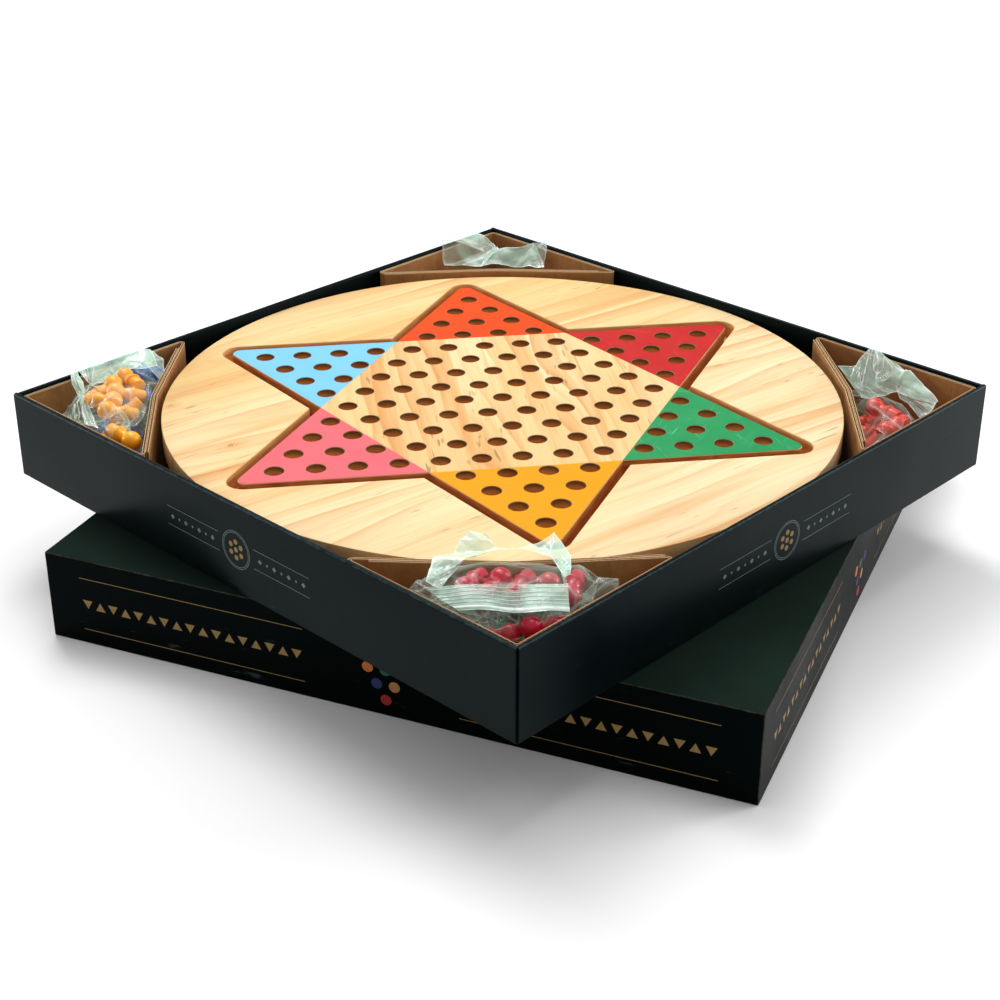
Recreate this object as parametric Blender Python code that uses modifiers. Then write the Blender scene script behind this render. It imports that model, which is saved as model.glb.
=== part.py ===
"""Boxed Chinese checkers set: a round pegged board in a shallow card tray, four corner
compartments with bags of pegs, and the tray's lid standing turned underneath it.

Metres, +Z up. The origin is the centre of the lid's footprint on the table.
"""
import math

import bmesh
import bpy
import numpy as np
from mathutils import Matrix, Vector

COLLECTION = "chinese_checkers_set"

# Driving dimensions.
GAP = 0.0003               # between pieces that rest on each other
OVERRUN = 0.01             # how far a cutter reaches past the face it opens

LID_SIDE = 0.4014
LID_HEIGHT = 0.0525
LID_WALL = 0.0020
LID_EDGE = 0.0006          # rounding of the card's folds
LID_TURN = math.radians(20.92)

TRAY_SIDE = 0.3960
TRAY_HEIGHT = 0.0517
TRAY_WALL = 0.0032
TRAY_BASE = 0.0018
TRAY_EDGE = 0.0009
TRAY_OFFSET = (-0.0053, -0.0163)   # tray centre from lid centre
TRAY_INNER = TRAY_SIDE / 2 - TRAY_WALL

INSERT_LEG = 0.116         # along each tray wall
INSERT_HEIGHT = 0.0476
INSERT_KINK = 0.006        # how far the long side is creased towards the corner
INSERT_PLAY = 0.0005       # between an insert and the tray's walls
CARD = 0.0016
CARD_FOLD = 0.0016         # radius at a fold, on the sheet's middle
PLY_PLAY = 0.0004          # between the two plies of the long side
SHORT_PLY = 0.010          # how far the inner ply runs past the crease
GLUE_TAB = 0.007           # how far the outer ply runs past the last fold

BOARD_RADIUS = 0.1942
BOARD_THICK = 0.0135
BOARD_EDGE = 0.0008
BOARD_SEGMENTS = 96
BOARD_TOP = 0.0466         # above the tray's underside
BOARD_TURN = math.radians(51.8)
POCKET_DEPTH = 0.0100

PITCH = 0.02225            # between neighbouring peg holes
HOLE_RADIUS = 0.0053
HOLE_DEPTH = 0.0076
HOLE_SEGMENTS = 10
ROWS_PER_POINT = 4
STAR_MARGIN = 0.0134       # from the outer holes' centres to the star's edge
GROOVE = 0.0055            # between the star and the pocket's wall
STAR_TIP_RADIUS = 0.0053
POCKET_TIP_RADIUS = 0.0100
PAINT = 0.0004
PAINT_EDGE = 0.0003        # how far a painted field stays inside the star's edge

SUPPORT_LENGTH = 0.386
SUPPORT_THICK = 0.0030

BAG_FILM = 0.0005
BAG_HALF = (0.0468, 0.0213, 0.0136)   # across the corner, out from it, upwards
BAG_TAPER = 0.28           # the bag is narrower on the corner's side by this part
BAG_POWER = 2.6            # superellipsoid power: above 2 is boxier than an ellipsoid
BAG_MOUTH = (0.70, 0.0012) # zip slit: part of the half width, and half height
BAG_CENTRE = 0.0522        # from the compartment's corner, along its diagonal
BAG_TUCK = 0.0008          # between the tray base or a lower bag and a bag
BAG_RISE = 2.6             # a bag with none on it puffs up to this part of BAG_HALF[2]
BAG_AROUND = 14            # facets round a bag

PEG_SEGMENTS = 10
PEG_LENGTH = 0.0230
PEG_HEAD_RADIUS = 0.0056
PEG_SKIRT_RADIUS = 0.0052
PEG_NECK_RADIUS = 0.0033
PEG_SHANK_RADIUS = 0.0042
PEG_SHANK_LENGTH = 0.0070
PEG_FOOT_CHAMFER = 0.0007
PEG_SKIRT_HEIGHT = 0.0010
PEGS_PER_BAG = 10
PEGS_MODELLED = 6          # the uppermost ones of each bag

# One point of the star for each player: name, colour. They follow each other
# anticlockwise, starting at the point nearest the tray's +X side.
POINTS = (
    ("green", (0.05, 0.42, 0.15)),
    ("crimson", (0.62, 0.02, 0.03)),
    ("orange", (0.94, 0.11, 0.01)),
    ("blue", (0.23, 0.58, 0.87)),
    ("pink", (0.85, 0.16, 0.20)),
    ("amber", (0.96, 0.43, 0.00)),
)

# Corner compartments, anticlockwise from the tray's (-X, -Y) corner, and the bags in
# each, lowest first.
CORNERS = (
    ("left", ("blue", "amber")),
    ("front", ("green", "pink")),
    ("right", ("crimson",)),
    ("back", ("orange",)),
)

# Loose pegs are settled as chains of balls: each ball's height on the peg and radius.
PEG_BALLS = (
    (0.0032, PEG_SHANK_RADIUS + 0.0008),
    (PEG_SHANK_LENGTH + 0.0008, PEG_SKIRT_RADIUS + 0.0006),
    (0.0120, 0.0049),
    (PEG_LENGTH - PEG_HEAD_RADIUS, PEG_HEAD_RADIUS),
)
PEG_SPACING = 0.0005
PEG_ROOM = 0.96            # part of the bag's inside that the pegs may fill
PEG_SETTLED = 1e-5         # stop when no ball moves further than this in a step
PEG_SEEDS = {"blue": 11, "amber": 19, "green": 35, "pink": 37, "crimson": 66, "orange": 78}


def clear_scene():
    for item in list(bpy.data.objects):
        bpy.data.objects.remove(item, do_unlink=True)


def add_collection(name):
    collection = bpy.data.collections.new(name)
    bpy.context.scene.collection.children.link(collection)
    return collection


def principled(name, colour, roughness, alpha=1.0):
    material = bpy.data.materials.new(name)
    material.use_nodes = True
    shader = material.node_tree.nodes["Principled BSDF"]
    shader.inputs["Base Color"].default_value = (*colour, 1.0)
    shader.inputs["Roughness"].default_value = roughness
    shader.inputs["Metallic"].default_value = 0.0
    shader.inputs["Alpha"].default_value = alpha
    return material


def add_object(name, mesh_builder, collection, parent=None, material=None):
    """Turn a bmesh into a named object and free the bmesh."""
    mesh = bpy.data.meshes.new(name)
    bmesh.ops.recalc_face_normals(mesh_builder, faces=mesh_builder.faces)
    mesh_builder.to_mesh(mesh)
    mesh_builder.free()
    item = bpy.data.objects.new(name, mesh)
    collection.objects.link(item)
    item.parent = parent
    if material:
        mesh.materials.append(material)
    return item


def add_empty(name, collection, location, turn=0.0, parent=None):
    empty = bpy.data.objects.new(name, None)
    empty.location = location
    empty.rotation_euler = (0.0, 0.0, turn)
    empty.parent = parent
    collection.objects.link(empty)
    return empty


def box(size_x, size_y, low, high):
    """A box centred on the Z axis between two heights."""
    shape = bmesh.new()
    bmesh.ops.create_cube(shape, size=1.0)
    bmesh.ops.scale(shape, verts=shape.verts, vec=(size_x, size_y, high - low))
    bmesh.ops.translate(shape, verts=shape.verts, vec=(0.0, 0.0, (low + high) / 2))
    return shape


def prism(outline, low, high):
    """An outline in XY, extruded between two heights."""
    shape = bmesh.new()
    face = shape.faces.new([shape.verts.new((x, y, low)) for x, y in outline])
    top = bmesh.ops.extrude_face_region(shape, geom=[face])["geom"]
    lifted = [item for item in top if isinstance(item, bmesh.types.BMVert)]
    bmesh.ops.translate(shape, verts=lifted, vec=(0.0, 0.0, high - low))
    return shape


def as_cutter(item):
    item.hide_render = True
    item.display_type = "WIRE"
    return item


def cut(item, cutter):
    modifier = item.modifiers.new("Cut_" + cutter.name, "BOOLEAN")
    modifier.operation = "DIFFERENCE"
    modifier.solver = "EXACT"
    modifier.object = cutter


def bevel(item, width, segments=1, angle=math.radians(50)):
    modifier = item.modifiers.new("Bevel", "BEVEL")
    modifier.width = width
    modifier.segments = segments
    modifier.limit_method = "ANGLE"
    modifier.angle_limit = angle


def rounded(points, radii, segments, closed=True):
    """A polyline with each corner replaced by an arc of the given radius."""
    result = []
    count = len(points)
    for index, (point, radius) in enumerate(zip(points, radii)):
        if radius == 0.0 or (not closed and index in (0, count - 1)):
            result.append(tuple(point))
            continue
        here = Vector(point)
        back = (Vector(points[index - 1]) - here).normalized()
        ahead = (Vector(points[(index + 1) % count]) - here).normalized()
        half = back.angle(ahead) / 2
        centre = here + (back + ahead).normalized() * radius / math.sin(half)
        start = here + back * radius / math.tan(half) - centre
        finish = here + ahead * radius / math.tan(half) - centre
        sweep = start.angle_signed(finish)
        for step in range(segments + 1):
            spoke = Matrix.Rotation(-sweep * step / segments, 2) @ start
            result.append(tuple(centre + spoke))
    return result


def polar(radius, angle):
    return (radius * math.cos(angle), radius * math.sin(angle))


# --- lid and tray --------------------------------------------------------------------


def make_lid(parts, cutters, frame):
    material = principled("lid_black_card", (0.012, 0.014, 0.013), 0.45)
    lid = add_object("lid_shell", box(LID_SIDE, LID_SIDE, 0.0, LID_HEIGHT), parts, frame, material)
    hollow_side = LID_SIDE - 2 * LID_WALL
    hollow = add_object(
        "lid_hollow", box(hollow_side, hollow_side, -OVERRUN, LID_HEIGHT - LID_WALL), cutters, frame)
    bevel(lid, LID_EDGE, segments=2)
    cut(lid, as_cutter(hollow))


def make_tray(parts, cutters, frame):
    material = principled("tray_black_card", (0.016, 0.020, 0.021), 0.42)
    tray = add_object("tray_shell", box(TRAY_SIDE, TRAY_SIDE, 0.0, TRAY_HEIGHT), parts, frame, material)
    inside = box(2 * TRAY_INNER, 2 * TRAY_INNER, TRAY_BASE, TRAY_HEIGHT + OVERRUN)
    hollow = add_object("tray_hollow", inside, cutters, frame)
    cut(tray, as_cutter(hollow))
    bevel(tray, TRAY_EDGE, segments=2)


def make_supports(parts, cutters, frame):
    """Two slotted strips, crossed halfway up, that hold the board at its height."""
    material = principled("support_brown_card", (0.36, 0.20, 0.09), 0.85)
    low = TRAY_BASE + GAP
    high = BOARD_TOP - BOARD_THICK - GAP
    middle = (low + high) / 2
    slot = SUPPORT_THICK + 2 * GAP
    along = add_object(
        "support_strip_x", box(SUPPORT_LENGTH, SUPPORT_THICK, low, high), parts, frame, material)
    across = add_object(
        "support_strip_y", box(SUPPORT_THICK, SUPPORT_LENGTH, low, high), parts, frame, material)
    upper_shape = box(slot, slot * 2, middle - GAP / 2, high + OVERRUN)
    lower_shape = box(slot * 2, slot, low - OVERRUN, middle + GAP / 2)
    upper = add_object("slot_upper", upper_shape, cutters, frame)
    lower = add_object("slot_lower", lower_shape, cutters, frame)
    cut(along, as_cutter(upper))
    cut(across, as_cutter(lower))


def insert_path():
    """The middle of the card strip, from the glue flap round to the outer long side.

    The tray's inner corner is the local origin and its walls run along +X and +Y.
    """
    side = INSERT_PLAY + CARD / 2
    ply = CARD + PLY_PLAY
    leg = INSERT_LEG

    def long_side(shift):
        """End points and crease of a long-side ply moved by shift towards the corner."""
        step = shift * math.sqrt(2)
        crease = (leg + side - 2 * INSERT_KINK / math.sqrt(2) - step) / 2
        return (leg - step, side), (crease, crease), (side, leg - step)

    inner_x, inner_crease, inner_y = long_side(ply)
    outer_x, outer_crease, outer_y = long_side(0.0)
    short = Vector(inner_y) + (Vector(inner_crease) - Vector(inner_y)).normalized() * SHORT_PLY
    stop = Vector(outer_x) + (Vector(outer_crease) - Vector(outer_x)).normalized() * GLUE_TAB
    points = [tuple(short), inner_crease, inner_x, (side, side), outer_y, outer_crease, tuple(stop)]
    radii = [0.0, 0.0, CARD_FOLD, CARD_FOLD, CARD_FOLD, 0.0, 0.0]
    return rounded(points, radii, 3, closed=False)


def make_inserts(parts, frame):
    """Each corner insert is one strip of fluted card folded into a triangle."""
    material = principled("insert_kraft_card", (0.42, 0.22, 0.095), 0.85)
    low = TRAY_BASE + GAP
    path = insert_path()
    for quarter, (name, _) in enumerate(CORNERS):
        strip = bmesh.new()
        bottom = [strip.verts.new((x, y, low)) for x, y in path]
        top = [strip.verts.new((x, y, low + INSERT_HEIGHT)) for x, y in path]
        for index in range(len(path) - 1):
            strip.faces.new((bottom[index], bottom[index + 1], top[index + 1], top[index]))
        insert = add_object("corner_insert_" + name, strip, parts, None, material)
        corner = add_empty("corner_frame_" + name, parts, (0.0, 0.0, 0.0), quarter * math.pi / 2, frame)
        insert.parent = corner
        insert.location = (-TRAY_INNER, -TRAY_INNER, 0.0)
        wall = insert.modifiers.new("Card", "SOLIDIFY")
        wall.thickness = CARD
        wall.offset = 0.0
        wall.use_even_offset = True


# --- board ---------------------------------------------------------------------------


def star_outline(margin, tip_radius, segments):
    """A six-pointed star whose edges lie a margin outside the outer peg holes."""
    apothem = 2 * math.sqrt(3) * PITCH + margin
    points = []
    radii = []
    for index in range(12):
        is_tip = index % 2 == 0
        reach = 2 * apothem if is_tip else apothem / math.cos(math.radians(30))
        points.append(polar(reach, math.radians(-30 + 30 * index)))
        radii.append(tip_radius if is_tip else 0.0)
    return rounded(points, radii, segments)


def point_outline(index, inset):
    """One painted triangle: the star's point beyond the middle hexagon."""
    apothem = 2 * math.sqrt(3) * PITCH + STAR_MARGIN
    turn = math.radians(-30 + 60 * index)
    base = apothem + GAP
    tip = 2 * apothem - 2 * inset
    half_base = (tip - base) * math.tan(math.radians(30))
    corners = [(tip, 0.0), (base, half_base), (base, -half_base)]
    outline = rounded(corners, [STAR_TIP_RADIUS, 0.0, 0.0], 4)
    spin = Matrix.Rotation(turn, 2)
    return [tuple(spin @ Vector(point)) for point in outline]


def peg_holes():
    """Hole centres: the hexagon's lattice, then the rows of each point, tip last."""
    across = Vector((PITCH, 0.0))
    up = Vector((PITCH / 2, PITCH * math.sqrt(3) / 2))
    reach = ROWS_PER_POINT
    hexagon = [
        i * across + j * up
        for i in range(-reach, reach + 1)
        for j in range(-reach, reach + 1)
        if abs(i + j) <= reach
    ]
    points = []
    for index in range(6):
        turn = math.radians(-30 + 60 * index)
        outward = Vector(polar(PITCH * math.sqrt(3) / 2, turn))
        sideways = Vector(polar(PITCH, turn + math.pi / 2))
        rows = []
        for row in range(1, reach + 1):
            count = reach + 1 - row
            for place in range(count):
                rows.append(outward * (reach + row) + sideways * (place - (count - 1) / 2))
        points.append(rows)
    return hexagon, points


def hole_cutter(name, centres, low, high, cutters, frame):
    """All of these holes' cylinders, as one cutter."""
    pins = bmesh.new()
    for centre in centres:
        place = Matrix.Translation((centre.x, centre.y, (low + high) / 2))
        bmesh.ops.create_cone(
            pins, cap_ends=True, segments=HOLE_SEGMENTS, radius1=HOLE_RADIUS, radius2=HOLE_RADIUS,
            depth=high - low, matrix=place)
    return as_cutter(add_object(name, pins, cutters, frame))


def make_board(parts, cutters, frame):
    wood = principled("board_pine", (0.78, 0.58, 0.32), 0.5)
    star_wood = principled("star_pine", (0.80, 0.55, 0.28), 0.5)
    disc_shape = bmesh.new()
    bmesh.ops.create_cone(
        disc_shape, cap_ends=True, segments=BOARD_SEGMENTS, radius1=BOARD_RADIUS, radius2=BOARD_RADIUS,
        depth=BOARD_THICK, matrix=Matrix.Translation((0.0, 0.0, BOARD_TOP - BOARD_THICK / 2)))
    disc = add_object("board_disc", disc_shape, parts, frame, wood)
    bevel(disc, BOARD_EDGE)
    pocket_floor = BOARD_TOP - POCKET_DEPTH
    pocket_shape = prism(
        star_outline(STAR_MARGIN + GROOVE, POCKET_TIP_RADIUS, 6), pocket_floor, BOARD_TOP + OVERRUN)
    cut(disc, as_cutter(add_object("star_pocket", pocket_shape, cutters, frame)))

    hexagon, points = peg_holes()
    star_top = BOARD_TOP - PAINT - GAP
    star = add_object(
        "board_star", prism(star_outline(STAR_MARGIN, STAR_TIP_RADIUS, 4), pocket_floor + GAP, star_top),
        parts, frame, star_wood)
    every_hole = hexagon + [centre for rows in points for centre in rows]
    hole_floor = star_top - HOLE_DEPTH
    cut(star, hole_cutter("star_holes", every_hole, hole_floor, star_top + OVERRUN, cutters, frame))

    for index, (name, colour) in enumerate(POINTS):
        field = add_object(
            "field_" + name, prism(point_outline(index, PAINT_EDGE), star_top + GAP, BOARD_TOP),
            parts, frame, principled("paint_" + name, colour, 0.45))
        holes = hole_cutter(
            "field_holes_" + name, points[index], star_top - GAP, BOARD_TOP + GAP, cutters, frame)
        cut(field, holes)


# --- bags and pegs -------------------------------------------------------------------


def signed_power(value, power):
    return math.copysign(abs(value) ** power, value)


def bag_surface(rise):
    """A pillow-shaped pouch on a superellipsoid, with a zip slit on its -Y side.

    Its upper half is taller than its lower one by the factor rise.
    """
    around = BAG_AROUND
    power = 2 / BAG_POWER
    half_x, half_y, half_z = BAG_HALF
    rings = []
    for angle in [None] + [math.radians(36 + 24 * step) for step in range(6)]:
        y = -half_y if angle is None else -half_y * signed_power(math.cos(angle), power)
        widen = 1 + BAG_TAPER * y / half_y
        ring = []
        for step in range(around):
            turn = 2 * math.pi * step / around
            x = half_x * widen * signed_power(math.cos(turn), power)
            z = signed_power(math.sin(turn), power)
            if z > 0.0 and angle is not None:
                z *= rise
            if angle is None:
                ring.append((x * BAG_MOUTH[0], y, z * BAG_MOUTH[1]))
            else:
                reach = signed_power(math.sin(angle), power)
                ring.append((x * reach, y, z * half_z * reach))
        rings.append(ring)
    shape = bmesh.new()
    rings = [[shape.verts.new(point) for point in ring] for ring in rings]
    for near, far in zip(rings, rings[1:]):
        for step in range(around):
            after = (step + 1) % around
            shape.faces.new((near[step], near[after], far[after], far[step]))
    closed_end = shape.verts.new((0.0, half_y, 0.0))
    for step in range(around):
        shape.faces.new((rings[-1][step], rings[-1][(step + 1) % around], closed_end))
    return shape


def peg_shape():
    """A turned peg on +Z: shank, conical skirt, neck and ball head."""
    head_centre = PEG_LENGTH - PEG_HEAD_RADIUS
    skirt = PEG_SHANK_LENGTH + PEG_SKIRT_HEIGHT
    profile = [
        (0.0, 0.0),
        (PEG_SHANK_RADIUS - PEG_FOOT_CHAMFER, 0.0),
        (PEG_SHANK_RADIUS, PEG_FOOT_CHAMFER),
        (PEG_SHANK_RADIUS, PEG_SHANK_LENGTH),
        (PEG_SKIRT_RADIUS, PEG_SHANK_LENGTH),
        (PEG_SKIRT_RADIUS, skirt),
    ]
    neck_angle = -math.acos(PEG_NECK_RADIUS / PEG_HEAD_RADIUS)
    for step in range(5):
        angle = neck_angle + (math.pi / 2 - neck_angle) * step / 4
        ring = (PEG_HEAD_RADIUS * math.cos(angle), head_centre + PEG_HEAD_RADIUS * math.sin(angle))
        profile.append(ring)
    shape = bmesh.new()
    rings = []
    for radius, height in profile:
        if radius < 1e-6:
            rings.append([shape.verts.new((0.0, 0.0, height))])
            continue
        rings.append([
            shape.verts.new((*polar(radius, 2 * math.pi * step / PEG_SEGMENTS), height))
            for step in range(PEG_SEGMENTS)
        ])
    for low, high in zip(rings, rings[1:]):
        for step in range(PEG_SEGMENTS):
            after = (step + 1) % PEG_SEGMENTS
            corners = [
                low[step % len(low)], low[after % len(low)],
                high[after % len(high)], high[step % len(high)]]
            shape.faces.new(list(dict.fromkeys(corners)))
    return shape


def settle_pegs(seed):
    """Loose pegs in a bag: each is a chain of balls, pushed apart until none touch.

    Gives the pegs' middles and the directions from shank to head, highest peg first.
    """
    rng = np.random.default_rng(seed)
    stations = np.array([height for height, _ in PEG_BALLS]) - PEG_LENGTH / 2
    balls = np.array([radius for _, radius in PEG_BALLS])
    count = PEGS_PER_BAG
    middle = np.array([0.0, 0.0008, 0.0])
    limits = (np.array(BAG_HALF) - BAG_FILM) * PEG_ROOM - middle
    column = np.arange(count) // 2
    layer = np.arange(count) % 2
    centres = np.column_stack([
        (column / (count // 2 - 1) - 0.5) * 1.25 * limits[0],
        rng.uniform(-0.15, 0.15, count) * limits[1],
        (layer - 0.5) * limits[2]])
    turns = np.pi / 2 + rng.uniform(-0.5, 0.5, count) + np.pi * ((column + layer) % 2)
    tilts = rng.uniform(-0.2, 0.2, count)
    axes = np.column_stack([
        np.cos(turns) * np.cos(tilts), np.sin(turns) * np.cos(tilts), np.sin(tilts)])
    for _ in range(6000):
        spots = centres[:, None, :] + axes[:, None, :] * stations[None, :, None]
        flat = spots.reshape(-1, 3)
        radii = np.tile(balls, count)
        owner = np.repeat(np.arange(count), len(balls))
        gap = flat[:, None] - flat[None]
        length = np.linalg.norm(gap, axis=2) + 1e-9
        need = np.clip(radii[:, None] + radii[None] + PEG_SPACING - length, 0, None)
        need[owner[:, None] == owner[None]] = 0
        push = (gap / length[..., None] * need[..., None] * 0.35).sum(axis=1)
        widen = 1 + BAG_TAPER * flat[:, 1] / BAG_HALF[1]
        room = np.outer(np.ones(len(flat)), limits) - radii[:, None] - PEG_SPACING
        room[:, 0] = limits[0] * widen - radii - PEG_SPACING
        reach = (np.abs(flat / room) ** BAG_POWER).sum(axis=1) ** (1 / BAG_POWER)
        push -= flat * np.clip(1 - 1 / np.maximum(reach, 1e-6), 0, None)[:, None] * 0.6
        push = push.reshape(spots.shape)
        if np.abs(push).max() < PEG_SETTLED:
            break
        centres += push.mean(axis=1)
        axes += (push * stations[None, :, None]).sum(axis=1) / (stations ** 2).sum()
        axes /= np.linalg.norm(axes, axis=1)[:, None]
    order = np.argsort(-centres[:, 2])
    return (centres + middle)[order], axes[order]


def make_bag(colour_name, colour, level, rise, corner, parts):
    """A zip bag lying across a corner compartment, with its pegs inside."""
    height = TRAY_BASE + BAG_TUCK + BAG_HALF[2] + level * (2 * BAG_HALF[2] + BAG_TUCK)
    reach = BAG_CENTRE / math.sqrt(2) - TRAY_INNER
    frame = add_empty("bag_frame_" + colour_name, parts, (reach, reach, height), -math.pi / 4, corner)
    film = principled("film_" + colour_name, (0.80, 0.88, 0.86), 0.15, alpha=0.35)
    bag = add_object("bag_" + colour_name, bag_surface(rise), parts, frame, film)
    skin = bag.modifiers.new("Film", "SOLIDIFY")
    skin.thickness = BAG_FILM
    skin.offset = -1.0
    plastic = principled("peg_" + colour_name, colour, 0.35)
    centres, axes = settle_pegs(PEG_SEEDS[colour_name])
    for index in range(PEGS_MODELLED):
        peg = add_object("peg_{}_{}".format(colour_name, index + 1), peg_shape(), parts, frame, plastic)
        direction = Vector(axes[index])
        peg.rotation_euler = direction.to_track_quat("Z", "Y").to_euler()
        peg.location = Vector(centres[index]) - direction * PEG_LENGTH / 2
        peg.data.shade_smooth()


def main():
    clear_scene()
    parts = add_collection(COLLECTION)
    cutters = add_collection("cutters")
    lid_frame = add_empty("lid_frame", parts, (0.0, 0.0, 0.0), LID_TURN)
    tray_frame = add_empty("tray_frame", parts, (*TRAY_OFFSET, LID_HEIGHT + GAP))
    board_frame = add_empty("board_frame", parts, (0.0, 0.0, 0.0), BOARD_TURN, tray_frame)
    make_lid(parts, cutters, lid_frame)
    make_tray(parts, cutters, tray_frame)
    make_supports(parts, cutters, tray_frame)
    make_inserts(parts, tray_frame)
    make_board(parts, cutters, board_frame)
    colours = dict(POINTS)
    for name, bags in CORNERS:
        corner = parts.objects["corner_frame_" + name]
        rise = BAG_RISE if len(bags) == 1 else 1.0
        for level, colour_name in enumerate(bags):
            make_bag(colour_name, colours[colour_name], level, rise, corner, parts)


main()
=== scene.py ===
"""The looks of a boxed Chinese checkers set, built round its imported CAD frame.

The board lies in a black card tray on its turned lid. Kraft-card inserts in the tray's
corners hold zip bags of pegs. Metres, +Z up, in the frame's own coordinates.
"""
import random
from math import acos, atan2, copysign, cos, exp, pi, radians, sin, sqrt, tan

import bmesh
import bpy
import numpy as np
from mathutils import Matrix, Vector, noise


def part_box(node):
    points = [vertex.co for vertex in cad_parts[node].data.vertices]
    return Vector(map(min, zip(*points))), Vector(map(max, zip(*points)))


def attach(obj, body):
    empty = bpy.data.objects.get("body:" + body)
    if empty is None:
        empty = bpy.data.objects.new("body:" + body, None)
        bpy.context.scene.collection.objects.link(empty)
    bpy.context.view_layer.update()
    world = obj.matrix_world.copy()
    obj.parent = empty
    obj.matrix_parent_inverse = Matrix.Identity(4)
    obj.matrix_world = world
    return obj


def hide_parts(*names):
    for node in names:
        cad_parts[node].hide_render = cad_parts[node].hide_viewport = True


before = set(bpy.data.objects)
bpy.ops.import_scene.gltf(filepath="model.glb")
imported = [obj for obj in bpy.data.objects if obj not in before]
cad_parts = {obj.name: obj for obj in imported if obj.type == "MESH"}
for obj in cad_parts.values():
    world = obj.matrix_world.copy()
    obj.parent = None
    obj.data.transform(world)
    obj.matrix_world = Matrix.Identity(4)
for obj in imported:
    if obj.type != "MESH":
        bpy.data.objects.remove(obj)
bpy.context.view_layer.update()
SCENE = bpy.context.scene
noise.seed_set(1)                # noise vectors would start from the clock without it

MM = 0.001
LID_TURN = radians(20.92)
BOARD_TURN = radians(51.8)
PITCH = 22.25 * MM               # between neighbouring peg holes
HOLE_RADIUS = 5.3 * MM
HOLE_DEPTH = 7.6 * MM
STAR_MARGIN = 13.4 * MM          # from the outer holes' centres to the star's edge
GROOVE = 5.5 * MM                # between the star and its pocket's wall
STAR_TIP_RADIUS = 5.3 * MM
POCKET_TIP_RADIUS = 10.0 * MM
POCKET_DEPTH = 10.0 * MM
STRIP_WIDTH = 25 * MM            # of the strips of pine that the star is glued from
DISC_GRAIN = radians(81.8)
STAR_GRAIN = BOARD_TURN + pi / 2
POINT_NAMES = ("green", "crimson", "orange", "blue", "pink", "amber")

CORNERS = ("left", "front", "right", "back")
BAGS = ("blue", "amber", "green", "pink", "crimson", "orange")
CORNER_OF = {"blue": "left", "amber": "left", "green": "front", "pink": "front", "crimson": "right",
             "orange": "back"}


# --- frame measures ------------------------------------------------------------------

TRAY_LOW, TRAY_HIGH = (Vector(corner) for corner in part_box("tray_shell"))
TRAY_CENTRE = (TRAY_LOW + TRAY_HIGH) / 2
TRAY_HALF = (TRAY_HIGH.x - TRAY_LOW.x) / 2
TRAY_WALL = 3.2 * MM
TRAY_INNER = TRAY_HALF - TRAY_WALL
DISC_LOW, DISC_HIGH = (Vector(corner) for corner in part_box("board_disc"))
DISC_CENTRE = (DISC_LOW + DISC_HIGH) / 2
DISC_RADIUS = (DISC_HIGH.x - DISC_LOW.x) / 2
STAR_LOW = Vector(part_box("board_star")[0])
LID_LOW, LID_HIGH = (Vector(corner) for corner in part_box("lid_shell"))
LID_HALF = 200.7 * MM            # half of the lid's side
INSERT_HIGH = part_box("corner_insert_left")[1][2]
INSERT_CARD = 1.6 * MM


# --- helpers -------------------------------------------------------------------------


def srgb(*levels):
    """A screen colour from 0 to 255 as a linear one."""
    parts = [level / 255 for level in levels]
    return (*(part / 12.92 if part <= 0.04045 else ((part + 0.055) / 1.055) ** 2.4 for part in parts), 1.0)


def add_object(name, data):
    thing = bpy.data.objects.new(name, data)
    SCENE.collection.objects.link(thing)
    return thing


def assign(target, **settings):
    for key, value in settings.items():
        setattr(target, key, value)


def add_mesh(name, shape, materials, body, smooth=None, node=None, place=None):
    """Turn a bmesh into a piece that rides on a body, and stands for a CAD node if given.

    smooth is the sharp-edge angle, and place a matrix that the shape is moved by."""
    mesh = bpy.data.meshes.new(name)
    if place:
        bmesh.ops.transform(shape, verts=shape.verts, matrix=place)
    bmesh.ops.recalc_face_normals(shape, faces=shape.faces)
    shape.to_mesh(mesh)
    shape.free()
    if smooth is not None:
        mesh.shade_smooth()
        mesh.set_sharp_from_angle(angle=radians(smooth))
    piece = add_object(name, mesh)
    for material in materials:
        mesh.materials.append(material)
    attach(piece, body)
    if node:
        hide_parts(node)
    return piece


def repaint(node, material):
    """Give a CAD node that stays in view its finished material."""
    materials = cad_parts[node].data.materials
    materials.clear()
    materials.append(material)


def polar(radius, angle):
    return Vector((radius * cos(angle), radius * sin(angle)))


def circle(centre, radius, segments, turn=0.0):
    return [Vector(centre) + polar(radius, turn + 2 * pi * step / segments) for step in range(segments)]


def rounded(points, radii, segments, closed=True):
    """A polyline with each corner replaced by an arc of the given radius."""
    result = []
    count = len(points)
    for index, (point, radius) in enumerate(zip(points, radii)):
        here = Vector(point)
        if radius == 0.0 or (not closed and index in (0, count - 1)):
            result.append(here)
            continue
        back = (Vector(points[index - 1]) - here).normalized()
        ahead = (Vector(points[(index + 1) % count]) - here).normalized()
        half = back.angle(ahead) / 2
        centre = here + (back + ahead).normalized() * radius / sin(half)
        start = here + back * radius / tan(half) - centre
        finish = here + ahead * radius / tan(half) - centre
        sweep = start.angle_signed(finish)
        for step in range(segments + 1):
            result.append(centre + Matrix.Rotation(-sweep * step / segments, 2) @ start)
    return result


def add_loop(shape, outline, height):
    return [shape.verts.new((point[0], point[1], height)) for point in outline]


def bridge(shape, low, high):
    """Walls between two loops with the same number of points."""
    count = len(low)
    for index in range(count):
        after = (index + 1) % count
        shape.faces.new((low[index], low[after], high[after], high[index]))


def skin(shape, rings, ends=(0, -1)):
    """Walls between successive rings, and a flat face on the end rings that are named."""
    for near, far in zip(rings, rings[1:]):
        bridge(shape, near, far)
    for end in ends:
        shape.faces.new(rings[end])


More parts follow.
